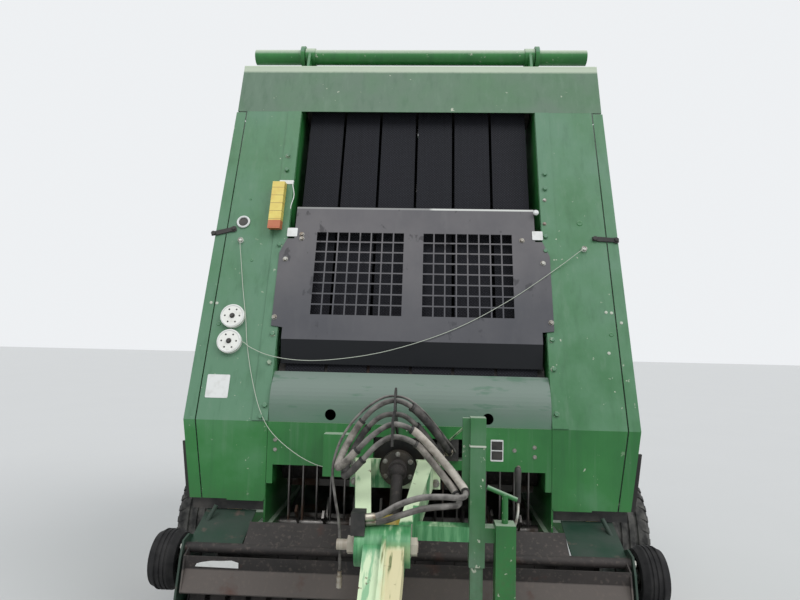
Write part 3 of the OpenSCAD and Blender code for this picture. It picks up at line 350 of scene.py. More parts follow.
front_normal = Vector((0, -0.961, 0.2765))
twine_routes = {
    "twine_long": ([
        (0.807, -0.1113, 1.9594), (0.803, -0.121, 1.958), (0.706, -0.133, 1.884), (0.586, -0.159, 1.796),
        (0.445, -0.186, 1.700), (0.200, -0.228, 1.565), (-0.087, -0.256, 1.463), (-0.290, -0.266, 1.422),
        (-0.479, -0.270, 1.408), (-0.636, -0.268, 1.427), (-0.730, -0.256, 1.463), (-0.770, -0.2464, 1.4851)
    ], (-1, 0, 0), 1.75),
    "twine_short": ([
        (-0.840, -0.1061, 1.9774), (-0.838, -0.116, 1.972), (-0.821, -0.135, 1.858), (-0.795, -0.173, 1.726),
        (-0.764, -0.214, 1.590), (-0.745, -0.243, 1.480), (-0.694, -0.297, 1.302), (-0.644, -0.336, 1.182),
        (-0.600, -0.345, 1.110), (-0.500, -0.349, 1.024), (-0.400, -0.353, 0.972), (-0.356, -0.353, 0.962)
    ], (1, 0, 0), 1.24),
}
for name, (route, end, length) in twine_routes.items():
    line = strand(name + "_cord", twine_radius, route, front_normal, end, "chassis", "twine", pale_twine, 2)
    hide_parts(name)

# GREEN PANELS
# Pressed steel sheets with green enamel. The lower panels are still deep green; the leaning
# front has gone chalky where the sun reached it, with runs of rain down it and small chips.
# Faces that look up are painted chalkier, partly as a painted sky reflection, and paler on top
# as a painted highlight; the tops of the hood and the hinge tube carry a painted highlight band.
deep_green = (0.014, 0.125, 0.026)
leaf_green = (0.028, 0.185, 0.040)
chalk_green = (0.100, 0.205, 0.134)
primer = (0.42, 0.46, 0.36)
rust_brown = (0.075, 0.038, 0.022)


def green_enamel(name, chalk, chips, chalk_colour=chalk_green, highlight_from=None):
    paint = Finish(name)
    broad = paint.noise(2.2, 5)
    runs = paint.noise(1.0, 4, (26, 26, 1.4))
    fine = paint.noise(55, 4)
    # Faces that look up are painted chalkier: sun fading, and a painted sky reflection on the leaning front.
    upward_fade_and_sheen = paint.band(paint.facing("Z"), 0.06, 0.30)
    worn = paint.band(broad + upward_fade_and_sheen * 0.30 + chalk, 0.56, 0.86)
    base = paint.over(paint.band(broad, 0.38, 0.66), deep_green, leaf_green)
    base = paint.over(worn * 0.85, base, chalk_colour)
    base = paint.over(paint.band(runs, 0.56, 0.80) * 0.30, base, (0.16, 0.25, 0.18))
    base = paint.over(paint.band(runs, 0.47, 0.28) * 0.30, base, (0.013, 0.075, 0.026))
    specks = paint.band(paint.noise(38, 3), chips, chips + 0.03) * paint.band(paint.noise(5.5, 2), 0.46, 0.60)
    base = paint.over(specks, base, primer)
    low_dirt = paint.band(paint.axis("Z") + broad * 0.35, 1.10, 0.72) * paint.band(fine, 0.35, 0.75)
    base = paint.over(low_dirt * 0.55, base, (0.06, 0.07, 0.035))
    # Faces that look up are painted paler still: a painted highlight from above.
    painted_top_light = paint.band(paint.facing("Z"), 0.45, 0.95)
    base = paint.over(painted_top_light * 0.75, base, (0.34, 0.42, 0.32))
    # A pale band between the given heights, along the top of the hood and of the hinge tube: a painted highlight.
    if highlight_from:
        base = paint.over(paint.band(paint.axis("Z") + fine * 0.006, *highlight_from) * 0.85, base, (0.47, 0.54, 0.42))
    rough = paint.band(worn + fine * 0.4, 0.0, 1.3, 0.34, 0.62)
    return paint.show(base, rough, bump=paint.noise(240, 2) + specks * -1.5, depth=0.0006, strength=0.25)


panel_paint = green_enamel("panel_enamel", 0.0, 0.70)
dress(
    panel_paint, "chamber_walls", "front_panels", "front_beam", "side_cover_left", "side_cover_right",
    "gate_walls", "gate_tail_panel", "cover_hinges"
)
dress(green_enamel("hood_enamel", 0.06, 0.70, (0.104, 0.156, 0.117), (2.952, 2.966)), "hood")
dress(green_enamel("tube_enamel", -0.20, 0.66, chalk_green, (3.150, 3.172)), "hinge_tube")
dress(green_enamel("frame_enamel", 0.02, 0.64), "main_frame", "axle", "gate_crossbars", "jack_tube")
dress(green_enamel("post_enamel", 0.22, 0.64, (0.115, 0.190, 0.135)), "jack_post", "stand_leg")
# The pickup's frame is painted much darker than the panels, as painted shade, with clouds of mud.
shaded_paint = Finish("mud_and_shade_enamel", 0.6)
mud = shaded_paint.noise(7, 6)
mud_and_shade = shaded_paint.over(shaded_paint.band(mud, 0.36, 0.66), (0.009, 0.034, 0.020), (0.024, 0.040, 0.030))
mud_and_shade = shaded_paint.over(shaded_paint.band(shaded_paint.noise(20, 5), 0.60, 0.72), mud_and_shade, (0.075, 0.058, 0.048))
shaded_paint.show(mud_and_shade, shaded_paint.band(mud, 0.3, 0.7, 0.42, 0.75), bump=mud, depth=0.001)
dress(shaded_paint, "pickup_frame")

# CURVED COVER
# The rolled sheet over the front roller, bolted between the chamber walls above the beam.
# Its colour is painted from a pale grey green at its top to a darker green at its lower edge,
# as painted shading of its curve.
cover_paint = Finish("shaded_cover_enamel")
cloud = cover_paint.noise(3.4, 5, (1, 1, 2.0))
# Painted shading: paler towards the top of the curve, darker towards its lower edge.
painted_shading = cover_paint.band(cover_paint.axis("Z") + cloud * 0.16, 1.19, 1.34)
shaded_and_scuffed = cover_paint.over(painted_shading, (0.070, 0.165, 0.100), (0.140, 0.190, 0.160))
scuffs = cover_paint.band(cover_paint.noise(9, 5, (0.5, 1, 2.4)), 0.60, 0.66)
shaded_and_scuffed = cover_paint.over(scuffs * 0.5, shaded_and_scuffed, (0.030, 0.120, 0.060))
cover_paint.show(shaded_and_scuffed, cover_paint.band(painted_shading, 0, 1, 0.38, 0.60), bump=cloud, depth=0.002, strength=0.2)
dress(cover_paint, "curved_cover")

# GUARD PANEL
# A grey folded steel guard in front of the belts, with two windows punched as a grid. Dust has
# dulled it. Its folded flap is painted near black as painted shade, and its top faces and top lip
# carry a painted highlight, strongest on the right half.
guard_paint = Finish("guard_enamel")
guard_paint.shader.inputs["Specular IOR Level"].default_value = 0.3
dust = guard_paint.noise(3.0, 6)
rain = guard_paint.noise(1.0, 4, (22, 22, 1.8))
guard_grey = guard_paint.over(guard_paint.band(dust, 0.36, 0.66), (0.079, 0.076, 0.084), (0.124, 0.118, 0.124))
guard_grey = guard_paint.over(guard_paint.band(rain, 0.55, 0.8) * 0.35, guard_grey, (0.145, 0.143, 0.143))
marks = guard_paint.band(guard_paint.noise(16, 5, (1, 1, 0.6)), 0.63, 0.67)
guard_grey = guard_paint.over(marks * 0.7, guard_grey, (0.032, 0.030, 0.033))
low_half = guard_paint.band(guard_paint.axis("Z") + dust * 0.2, 2.05, 1.75)
guard_grey = guard_paint.over(low_half * 0.45, guard_grey, (0.040, 0.045, 0.056))
# The folded flap below the guard is painted near black as painted shade.
shaded_flap = guard_paint.axis("Z") * -1 > -1.502
guard_grey = guard_paint.over(shaded_flap * 0.96, guard_grey, (0.003, 0.004, 0.006))
# Painted highlight on the top faces and along the top lip, strongest on the right half.
guard_top_highlight = guard_paint.band(guard_paint.facing("Z"), 0.6, 0.9)
highlight_half = guard_paint.band(guard_paint.axis("X"), 0.07, 0.09, 0.3, 1.0)
guard_grey = guard_paint.over(guard_top_highlight * highlight_half * 0.9, guard_grey, (0.55, 0.56, 0.54))
lip_highlight = guard_paint.band(guard_paint.axis("Z"), 2.1435, 2.1465) * highlight_half
guard_grey = guard_paint.over(lip_highlight * 0.9, guard_grey, (0.62, 0.63, 0.60))
guard_paint.show(guard_grey, guard_paint.band(dust, 0.3, 0.7, 0.38, 0.58), bump=dust, depth=0.001, strength=0.15)
dress(guard_paint, "guard_panel")

# BELTS
# Six rubber belts side by side. Their outer face is moulded with small diamonds that grip the
# crop; the ribs have worn a little paler than the hollows between them. The flaps are plain.
belt_rubber = Finish("belt_rubber", 0.75)
belt_rubber.shader.inputs["Specular IOR Level"].default_value = 0.22
diagonal = {"wave_type": "BANDS", "bands_direction": "DIAGONAL"}
slants = [
    belt_rubber.band(belt_rubber.node("TexWave", diagonal, {"Vector": place, "Scale": 42.0}), 0.35, 0.75)
    for place in (belt_rubber.stretched(1, 0.5, 0.95), belt_rubber.stretched(-1, 0.5, 0.95))
]
diamonds = slants[0] * slants[1]
lines = belt_rubber.noise(1.0, 3, (120, 8, 1.0))
black = belt_rubber.over(diamonds * 0.7 + lines * 0.25, (0.004, 0.004, 0.006), (0.026, 0.028, 0.037))
belt_rubber.show(black, bump=diamonds, depth=0.003, strength=0.7)
dress(belt_rubber, "front_belts", "gate_belts")

flap_rubber = mottled(
    "flap_rubber", 0.8, 0.0, (7, 6, (1, 1, 0.4)), (0.35, 0.7), (0.018, 0.017, 0.017), (0.050, 0.046, 0.043),
    depth=0.003, strength=0.3
)
dress(flap_rubber, "flap_left", "flap_right")


# BARE AND RUSTY STEEL
# The gate's rollers and the rods are bright, the feeder and the chamber's floor dull. The front
# rollers, the driveline's shaft and the pickup's reel, bands and wind guard lost their paint
# and are brown all over, with darker and redder clouds.
def steel(name, bright, dark, share):
    metal = Finish(name, metallic=0.8)
    cloud = metal.noise(9, 6)
    scratch = metal.noise(1.0, 3, (90, 14, 14))
    tint = metal.over(metal.band(cloud + scratch * 0.3, 0.45, 0.85), dark, bright)
    red = metal.band(metal.noise(6, 5), 0.66 - share, 0.78 - share)
    tint = metal.over(red, tint, rust_brown)
    return metal.show(tint, metal.band(red, 0, 1, 0.36, 0.8), metal.band(red, 0, 1, 0.85, 0.1), scratch, 0.0006, 0.3)


polished = steel("polished_steel", (0.46, 0.45, 0.43), (0.22, 0.21, 0.20), 0.02)
dress(polished, "gate_rollers", "rod_left", "rod_right", "jack_leg")
dull = steel("dull_steel", (0.20, 0.19, 0.18), (0.09, 0.085, 0.08), 0.14)
dress(dull, "chamber_floor", "feeder_rotor", "gauge_rim_left", "gauge_rim_right")

rusty = Finish("rusty_plate", 0.78)
patch = rusty.noise(4.2, 7)
grit = rusty.noise(60, 5)
brown = rusty.over(rusty.band(patch, 0.34, 0.64), (0.011, 0.010, 0.010), (0.034, 0.028, 0.026))
dusty_edge = rusty.band(rusty.axis("Z"), 0.606, 0.600) * rusty.band(rusty.axis("Y"), -0.560, -0.566)
brown = rusty.over(dusty_edge * 0.75, brown, (0.100, 0.084, 0.075))
brown = rusty.over(rusty.band(grit, 0.55, 0.72) * 0.5, brown, (0.110, 0.088, 0.076))
brown = rusty.over(rusty.band(rusty.noise(7, 5), 0.60, 0.70) * 0.7, brown, (0.060, 0.022, 0.014))
rusty.show(brown, bump=grit + patch, depth=0.0012, strength=0.4)
dress(rusty, "front_rollers", "pickup_bands", "pickup_reel", "wind_guard", "pto_shaft")

# DRAWBAR
# Two tapered arms and a tapered tube. Their green has been rubbed off to pale primer along the
# top faces, and a cream colour shows on the tube ahead of the round head.
worn_paint = Finish("worn_drawbar_enamel")
rub = worn_paint.noise(5.0, 6, (1.6, 1, 1))
grain = worn_paint.noise(1.0, 5, (70, 10, 9))
top = worn_paint.band(worn_paint.facing("Z"), -0.1, 0.6)
along, across = worn_paint.axis("Y"), worn_paint.axis("X")
head = worn_paint.band(along, -0.83, -0.86) * worn_paint.band(along, -1.02, -0.98)
head = head.maths("MAXIMUM", head, worn_paint.band(across, 0.030, 0.036) * worn_paint.band(along, -0.730, -0.736))
bare = worn_paint.band(rub + grain * 0.35 + top * 0.24 - head * 0.34, 0.60, 0.78)
tube_green = worn_paint.over(worn_paint.band(grain, 0.4, 0.65), (0.040, 0.200, 0.070), (0.120, 0.330, 0.150))
tube_green = worn_paint.over(bare, tube_green, (0.57, 0.69, 0.46))
tube = worn_paint.band(along, -0.975, -1.005)
streak = worn_paint.noise(1.0, 5, (46, 3.5, 12))
tube_green = worn_paint.over(tube * worn_paint.band(streak, 0.50, 0.58) * 0.75, tube_green, (0.130, 0.360, 0.190))
cream = worn_paint.band(across + streak * 0.08, -0.022, -0.002) * tube
tube_green = worn_paint.over(cream * 0.85, tube_green, (0.60, 0.52, 0.31))
tube_green = worn_paint.over(cream * worn_paint.band(streak, 0.56, 0.62), tube_green, (0.14, 0.17, 0.07))
steel_ends = (across * -1 > 0.1515) + (across > 0.0292) * worn_paint.band(along, -0.858, -0.860)
steel_ends = steel_ends * worn_paint.band(along, -0.850, -0.852)
tube_green = worn_paint.over(steel_ends, tube_green, worn_paint.over(grain, (0.20, 0.15, 0.10), (0.62, 0.58, 0.50)))
spots = worn_paint.band(worn_paint.noise(22, 5), 0.66, 0.71)
tube_green = worn_paint.over(spots, tube_green, (0.10, 0.055, 0.03))
worn_paint.show(tube_green, worn_paint.band(bare, 0, 1, 0.42, 0.66), bump=grain + bare * 0.5, depth=0.001, strength=0.3)
dress(worn_paint, "drawbar", "drawbar_tube")

# DRIVELINE
# A greasy black gearbox with its shaft under a yellow plastic guard, dropped so that the free
# end comes down to the ground. The gate's cylinders are as greasy.
grease = mottled(
    "greasy_black", 0.42, 0.0, (8, 6), (0.4, 0.7), (0.012, 0.012, 0.011), (0.075, 0.060, 0.045), depth=0.002
)
dress(grease, "gearbox", "barrel_left", "barrel_right")
guard_plastic = mottled(
    "guard_plastic", 0.5, 0.0, (11, 6), (0.45, 0.75), (0.55, 0.40, 0.06), (0.10, 0.07, 0.03), share=0.7
)
dress(guard_plastic, "pto_guard")

# FASTENINGS OF THE FRONT
# Bolts run down the folded strips beside the belts and hold the guard. Rivets, stopped holes,
# blank plates and the rubber latches of the side covers are set on the leaning sheets.
beam_y, bend_z, lean = -0.333, 1.143, 0.28773
sunk, strip_face, guard_face = -0.0003, 0.0045, 0.0098
level, front_up = Vector((1, 0, 0)), Vector((0, 0.2765, 0.961))


def out_of_front(z):
    return front_normal if z > bend_z else Vector((0, -1, 0))


def on_front(x, z, proud=0.0):
    """A place on the front sheets, which stand upright below their bend and lean back above it."""
    return Vector((x, beam_y + max(z - bend_z, 0.0) * lean, z)) + out_of_front(z) * proud


def bolted(shape, proud, across, high, *places):
    """Bolts at places on the front sheets, each square to its sheet."""
    for x, z in places:
        shape.bolt(on_front(x, z, proud), out_of_front(z), across, high)


def rounded(width, height, corner, steps=4):
    """The outline of a plate with rounded corners."""
    points = []
    for quarter, (sx, sy) in enumerate(((1, 1), (-1, 1), (-1, -1), (1, -1))):
        for k in range(steps + 1):
            turn = (quarter + k / steps) * math.pi / 2
            across, up = sx * (width / 2 - corner), sy * (height / 2 - corner)
            points.append((across + corner * math.cos(turn), up + corner * math.sin(turn)))
    return points


zinc = mottled("weathered_zinc", 0.45, 0.75, (30, 5), (0.4, 0.7), (0.36, 0.36, 0.33), (0.12, 0.085, 0.06))
painted_bolts, strip_bolts = Shape(), Shape()
bolted(
    painted_bolts, strip_face, 0.019, 0.010,
    (-0.655, 2.438), (-0.653, 2.356), (-0.647, 1.954), (-0.631, 1.209), (-0.644, 1.162), (0.643, 2.348), (0.640, 2.267),
    (0.629, 2.016), (0.625, 1.943), (0.632, 1.523), (0.632, 1.394), (0.632, 1.204), (-0.632, 1.523), (-0.632, 1.394)
)
painted_bolts.done("painted_bolts", "chassis", "green_paint", green_enamel("bolt_enamel", 0.12, 0.52))
bolted(
    strip_bolts, guard_face, 0.017, 0.009,
    (-0.543, 2.007), (-0.541, 1.986), (0.516, 1.992), (-0.632, 1.599), (0.632, 1.599), (-0.61, 1.88), (0.61, 1.88)
)
bolted(strip_bolts, strip_face, 0.013, 0.007, (0.635, 2.207), (0.628, 2.082))
bolted(
    strip_bolts, -0.0005, 0.012, 0.006,
    (-0.576, 1.066), (-0.575, 1.024), (0.453, 1.050), (0.538, 1.065), (0.539, 1.025), (0.471, 0.980)
)
bolted(strip_bolts, 0.0115, 0.024, 0.014, (-0.225, 0.905), (-0.225, 0.975), (0.12, 0.905), (0.12, 0.975))
strip_bolts.done("front_bolts", "chassis", "worn_steel", zinc)

rivet = [(0.0075, 0.0), (0.0070, 0.0016), (0.0045, 0.0028), (0, 0.0034)]
for name, body, places in (
    ("panel_rivets", "chassis", ((-0.913, 1.662), (0.884, 1.655), (0.908, 1.653), (0.880, 1.471))),
    ("cover_rivets_left", "cover_left", ((-0.941, 1.664),)), ("cover_rivets_right", "cover_right", ((0.948, 1.608),))
):
    rivets = Shape()
    for x, z in places:
        rivets.turned(rivet, on_front(x, z, sunk), front_normal, 14)
    rivets.done(name, body, "white_plastic", pale_twine)
plugs = Shape()
for x, z, r in (
    (-0.821, 2.196, 0.006), (-0.775, 1.875, 0.007), (-0.890, 1.565, 0.010), (0.797, 2.089, 0.014), (0.898, 1.554, 0.010)
):
    dome = [(r, 0), (r, 0.001), (r * 0.8, 0.0026), (r * 0.3, 0.002), (0, 0.002)]
    plugs.turned(dome, on_front(x, z, sunk), front_normal, 18)
plugs.done("stopped_holes", "chassis", "green_paint", panel_paint)

plate_white = mottled(
    "blank_plate", 0.35, 0.0, (24, 5), (0.5, 0.75), (0.66, 0.67, 0.66), (0.40, 0.40, 0.36), share=0.5, depth=0.0003
)
plates = Shape().cut(rounded(0.102, 0.105, 0.006), on_front(-0.854, 1.286, sunk), level, front_up, 0.0016)
plates.cut(rounded(0.054, 0.091, 0.003), (0.379, -0.3328, 1.0475), level, (0, 0, 1), 0.0012)
plates.cut(rounded(0.072, 0.022, 0.003), on_front(-0.648, 2.288, strip_face), level, front_up, 0.003)
for side in (-1, 1):
    plates.cut(rounded(0.050, 0.046, 0.004), on_front(side * 0.590, 2.017, guard_face), level, front_up, 0.003)
knob = [(0.006, 0), (0.006, 0.012), (0.013, 0.014), (0.014, 0.020), (0.009, 0.026), (0, 0.027)]
plates.turned(knob, on_front(0.585, 2.128, 0.0100), front_normal)
plates.done("blank_plates", "chassis", "white_plastic", plate_white, 0.0004)
dark_fields = Shape()
for z in (1.068, 1.027):
    dark_fields.cut(rounded(0.046, 0.036, 0.002), (0.379, -0.3338, z), level, (0, 0, 1), 0.0009)
grommet = [(0.024, 0), (0.024, 0.003), (0.010, 0.004), (0, 0.004)]
dark_fields.turned(grommet, on_front(-0.840, 2.071, -0.0002), front_normal, 26)
dark_fields.done("dark_fields", "chassis", "black_paint", black_holder)
pale_ring = Shape().ring(on_front(-0.840, 2.071, 0.004), front_normal, 0.028, 0.0055)
pale_ring.done("pale_ring", "chassis", "white_plastic", plate_white)
steel_lips = Shape()
for x, z in ((-0.840, 1.974), (0.807, 1.956)):
    steel_lips.ring(on_front(x, z, 0.0122), front_normal, 0.0095, 0.0032, 24)
steel_lips.done("eyelet_lips", "chassis", "worn_steel", zinc)

latch_outline = [
    (-0.062, -0.009), (-0.030, -0.012), (0.034, -0.011), (0.052, -0.016), (0.062, -0.010),
    (0.062, 0.010), (0.052, 0.016), (0.034, 0.011), (-0.030, 0.012), (-0.062, 0.009)
]
boss = [(0.010, 0), (0.010, 0.012), (0.007, 0.015), (0, 0.015)]
button = [(0.006, 0), (0.006, 0.010), (0.011, 0.011), (0.011, 0.015), (0, 0.016)]
for name, body, x, z, tilt in (
    ("latch_left", "cover_left", -0.930, 2.020, 0.27), ("latch_right", "cover_right", 0.912, 2.006, -0.06)
):
    along = level * math.cos(tilt) + front_up * math.sin(tilt)
    over = front_up * math.cos(tilt) - level * math.sin(tilt)
    strap = Shape().cut(latch_outline, on_front(x, z, 0.0005), along, over, 0.007)
    strap.turned(boss, on_front(x, z) + along * 0.050, front_normal)
    strap.turned(button, on_front(x, z) - along * 0.050, front_normal)
    strap.done(name, body, "belt_rubber", flap_rubber, 0.0012)

# TWINE TENSION DISCS AND BALE GAUGE
# Each white plastic disc is held by a bolt and has small holes round it. The yellow gauge has
# dark ticks, a red lower end and a bent wire pointer in front of it.
gauge_yellow = Finish("gauge_yellow", 0.45)
ticks = gauge_yellow.node("Math", {"operation": "FRACT"}, {0: gauge_yellow.axis("Z") * 24.0})
amber = gauge_yellow.band(gauge_yellow.noise(14, 4), 0.40, 0.62)
red_end = gauge_yellow.axis("Z") * -1 > -2.075
faded = gauge_yellow.over((ticks > 0.93) * 0.7, (0.66, 0.54, 0.12), (0.12, 0.05, 0.02))
faded = gauge_yellow.over(amber * 0.5, faded, (0.50, 0.30, 0.05))
faded = gauge_yellow.over(red_end * 0.85, faded, (0.38, 0.05, 0.03))
gauge_yellow.show(faded, bump=amber, depth=0.0005)
dress(gauge_yellow, "bale_gauge")

disc_white = Finish("white_plastic", 0.4)
handled = disc_white.band(disc_white.noise(30, 5), 0.55, 0.75)
disc_white.show(disc_white.over(handled * 0.4, (0.72, 0.72, 0.68), (0.35, 0.33, 0.27)))
dress(disc_white, "twine_discs")


def around(count, radius, start=0.0):
    """Points spaced evenly round a circle, as two distances from its middle."""
    turns = [start + 2 * math.pi * k / count for k in range(count)]
    return [(radius * math.cos(turn), radius * math.sin(turn)) for turn in turns]


disc_x, disc_face, disc_edge = -0.825, 0.0221, 0.0210
dark_hole = [(0.0042, 0), (0.0042, 0.0006), (0, 0.0006)]
for z in (1.598, 1.482):
    middle = on_front(disc_x, z, disc_face)
    marks = Shape().bolt(middle, front_normal, 0.017, 0.010)
    for u, v in around(6, 0.034):
        marks.turned(dark_hole, middle + level * u + front_up * v, front_normal, 12)
    marks.done("disc_hub_%d" % (z * 1000), "chassis", "black_paint", black_holder)
    rim_shape = Shape().ring(on_front(disc_x, z, disc_edge), front_normal, 0.0500, 0.0035, 48)
    rim_shape.done("disc_rim_%d" % (z * 1000), "chassis", "white_plastic", plate_white)
pointer = [
    on_front(x, z, proud) for x, z, proud in (
        (-0.611, 2.290, 0.006), (-0.609, 2.262, 0.030), (-0.596, 2.201, 0.034), (-0.607, 2.130, 0.030)
    )
]
strand("gauge_pointer", 0.0022, pointer, (0, -1, 0.1), (0, 0, -1), "chassis", "white_plastic", plate_white, 3)


# SCRAPER
# A folded bar behind the throat's lower roller keeps the crop off it. It is fixed to both walls.
def strip(half, low, high):
    """The outline of a bar that reaches as far to both sides."""
    return [(-half, low), (half, low), (half, high), (-half, high)]


inner_half = 0.609
scraper = Shape().cut(strip(inner_half, -0.035, 0.035), (0, 0.080, 0.812), level, (0, 0, 1), 0.004)
scraper.cut(strip(inner_half, -0.022, 0.0), (0, 0.100, 0.779), level, (0, 1, 0), 0.004)
scraper.done("roller_scraper", "chassis", "worn_steel", dull, 0.001)

# BEARINGS ON THE WALLS
# A round cast flange with four bolts carries each roller's shaft on the outer face of the wall.
cast = mottled("cast_iron", 0.6, 0.5, (20, 6), (0.4, 0.7), (0.055, 0.050, 0.046), (0.13, 0.085, 0.055), depth=0.0015)
wall_face, flange_thick = 0.6175, 0.011
flange = [
    (0, 0), (0.058, 0), (0.060, 0.002), (0.060, 0.010), (0.044, 0.013), (0.040, 0.026), (0.034, 0.030), (0, 0.030)
]
for body, walls in (
    ("chassis", ((-0.129, 1.330), (0.303, 2.780), (-0.048, 1.095), (-0.003, 0.900))),
    ("gate", ((0.826, 0.850), (1.640, 0.960), (1.870, 1.750), (1.620, 2.640)))
):
    castings, studs = Shape(), Shape()
    for side in (-1, 1):
        for y, z in walls:
            castings.turned(flange, (side * wall_face, y, z), (side, 0, 0), 32)
            for u, v in around(4, 0.050, math.pi / 4):
                studs.bolt((side * (wall_face + flange_thick), y + u, z + v), (side, 0, 0), 0.014, 0.009)
    castings.done("bearings_" + body, body, "worn_steel", cast)
    studs.done("bearing_bolts_" + body, body, "worn_steel", zinc)

# PINS, NUTS AND LAMP FRAMES
# Collars close the ends of the cylinders' pins, and the tail panel and its lamps are screwed on.
lens = Finish("red_lens", 0.2)
cells = lens.node("TexVoronoi", None, {"Vector": lens.place, "Scale": 180.0})
lens.show(lens.over(cells, (0.45, 0.02, 0.02), (0.22, 0.005, 0.005)), bump=cells, depth=0.001)
dress(lens, "tail_lamps")
collar = [(0, 0), (0.027, 0), (0.027, 0.006), (0.018, 0.008), (0.016, 0.010), (0, 0.010)]
tail_y = 1.997
lamp_in, lamp_out, lamp_low, lamp_high, frame_bar = 0.432, 0.588, 2.142, 2.238, 0.010
frame_sides = (
    (lamp_in, lamp_out, lamp_low, lamp_low + frame_bar), (lamp_in, lamp_out, lamp_high - frame_bar, lamp_high),
    (lamp_in, lamp_in + frame_bar, lamp_low, lamp_high), (lamp_out - frame_bar, lamp_out, lamp_low, lamp_high)
)
pins, tail_screws, lamp_frames = Shape(), Shape(), Shape()
for side in (-1, 1):
    pins.turned(collar, (side * 0.7335, 0.560, 0.745), (side, 0, 0))
    for x in (0.400, 0.600):
        for z in (2.050, 2.310):
            tail_screws.bolt((side * x, tail_y + 0.0005, z), (0, 1, 0), 0.015, 0.008)
    for x0, x1, z0, z1 in frame_sides:
        half_z = (z1 - z0) / 2
        middle = (side * (x0 + x1) / 2, tail_y, (z0 + z1) / 2)
        lamp_frames.cut(strip((x1 - x0) / 2, -half_z, half_z), middle, (-1, 0, 0), (0, 0, 1), 0.056)
pins.done("cylinder_pins", "chassis", "worn_steel", zinc)
tail_screws.done("tail_screws", "gate", "worn_steel", zinc)
lamp_frames.done("lamp_frames", "gate", "black_paint", black_holder, 0.002)

# GEARBOX BOLTS, POST AND LEVER
# Six bolts hold the gearbox's bearing cap. The stand's post has a pale weld, and the lever of the
# valve beside it ends in a black grip. A thin rod steadies the post from the hose block.
cap_x, cap_face, cap_z = -0.040, -0.3825, 0.968
cap_bolts = Shape()
for u, v in around(6, 0.061, math.pi / 6):
    cap_bolts.bolt((cap_x + u, cap_face, cap_z + v), (0, -1, 0), 0.015, 0.008)
cap_bolts.done("cap_bolts", "chassis", "worn_steel", zinc)
weld = Shape().cut(rounded(0.056, 0.006, 0.0025), (0.256, -0.7965, 1.142), level, (0, 0, 1), 0.003)
weld.cut(rounded(0.054, 0.006, 0.0025), (0.2295, -0.770, 1.142), (0, -1, 0), (0, 0, 1), 0.003)
weld.done("post_weld", "chassis", "green_paint", pale_twine)
bent_rod = [
    (0.300, -0.748, 0.845), (0.345, -0.700, 0.815), (0.410, -0.600, 0.810), (0.440, -0.520, 0.850),
    (0.442, -0.500, 0.900)
]
strand("lever_rod", 0.006, bent_rod, (0, 1, 0), (0, 0, 1), "chassis", "worn_steel", zinc)
grip = [(0, 0), (0.010, 0), (0.012, 0.006), (0.012, 0.070), (0.014, 0.100), (0.014, 0.128), (0.009, 0.138), (0, 0.140)]
Shape().turned(grip, (0.442, -0.500, 0.876), (0, 0.02, 1)).done("lever_grip", "chassis", "black_paint", black_holder)
stay, stay_way = [(0.178, -0.335, 1.086), (0.205, -0.550, 1.155), (0.233, -0.768, 1.226)], (0.1, -1, 0.3)
strand("stay_rod", 0.0045, stay, stay_way, stay_way, "chassis", "green_paint", worn_paint)

# PICKUP FITTINGS
# The reel's bars carry coiled feet for the tines. The reel turns in flanges on the side plates,
# nuts hold the wind guard, the back tube and the gauge wheels, and a bare patch shows on the
# wind guard. A black rail stands under the lip of each lower front panel.
reel_y, reel_z, side_face = -0.430, 0.440, 0.8775
pickup_nuts = (
    (side_face, -0.520, 0.667, 0.026, 0.014), (side_face, -0.215, 0.470, 0.030, 0.016),
    (1.0095, -0.400, 0.575, 0.024, 0.012)
)
tines, tine_half = 22, 0.850
coils, winds = Shape(), [(0.0175 if k % 2 else 0.0135, -0.012 + k * 0.003) for k in range(9)]
for y, z in around(4, 0.085):
    for k in range(tines):
        spot = (-tine_half + k * 2 * tine_half / (tines - 1), reel_y + y, reel_z + z)
        coils.turned([(0.011, -0.013), *winds, (0.011, 0.013)], spot, (1, 0, 0), 10)
coils.done("tine_coils", "reel", "rusty_steel", rusty)
side_flanges, side_bolts = Shape(), Shape()
for side in (-1, 1):
    side_flanges.turned(flange, (side * side_face, reel_y, reel_z), (side, 0, 0), 28)
    for x, y, z, across, high in pickup_nuts:
        side_bolts.bolt((side * x, y, z), (side, 0, 0), across, high)
    for u, v in around(3, 0.05, 0.5):
        side_bolts.bolt((side * (side_face + flange_thick), reel_y + u, reel_z + v), (side, 0, 0), 0.014, 0.009)
side_flanges.done("pickup_bearings", "pickup", "worn_steel", cast)
side_bolts.done("pickup_bolts", "pickup", "worn_steel", zinc)
seal = Shape().cut(strip(0.83, -0.045, 0.050), (0, -0.2585, 0.548), level, (0, 0, 1), 0.004)
seal.done("pickup_seal", "pickup", "belt_rubber", flap_rubber)
rails = Shape()
for side in (-1, 1):
    rails.cut(strip(0.158, -0.022, 0.022), (side * 0.775, -0.300, 0.782), level, (0, 0, 1), 0.008)
rails.done("skirt_rails", "chassis", "black_paint", black_holder)
bare_patch = [
    (-0.085, -0.014), (0.085, -0.016), (0.086, 0.006), (0.060, 0.015), (0.020, 0.012), (-0.020, 0.011),
    (-0.060, 0.004), (-0.078, -0.002)
]
patch_shape = Shape().cut(bare_patch, (-0.726, -0.5785, 0.628), level, (0, -0.211, 0.977), 0.0012)
patch_shape.done("bare_patch", "wind_guard", "white_plastic", plate_white)

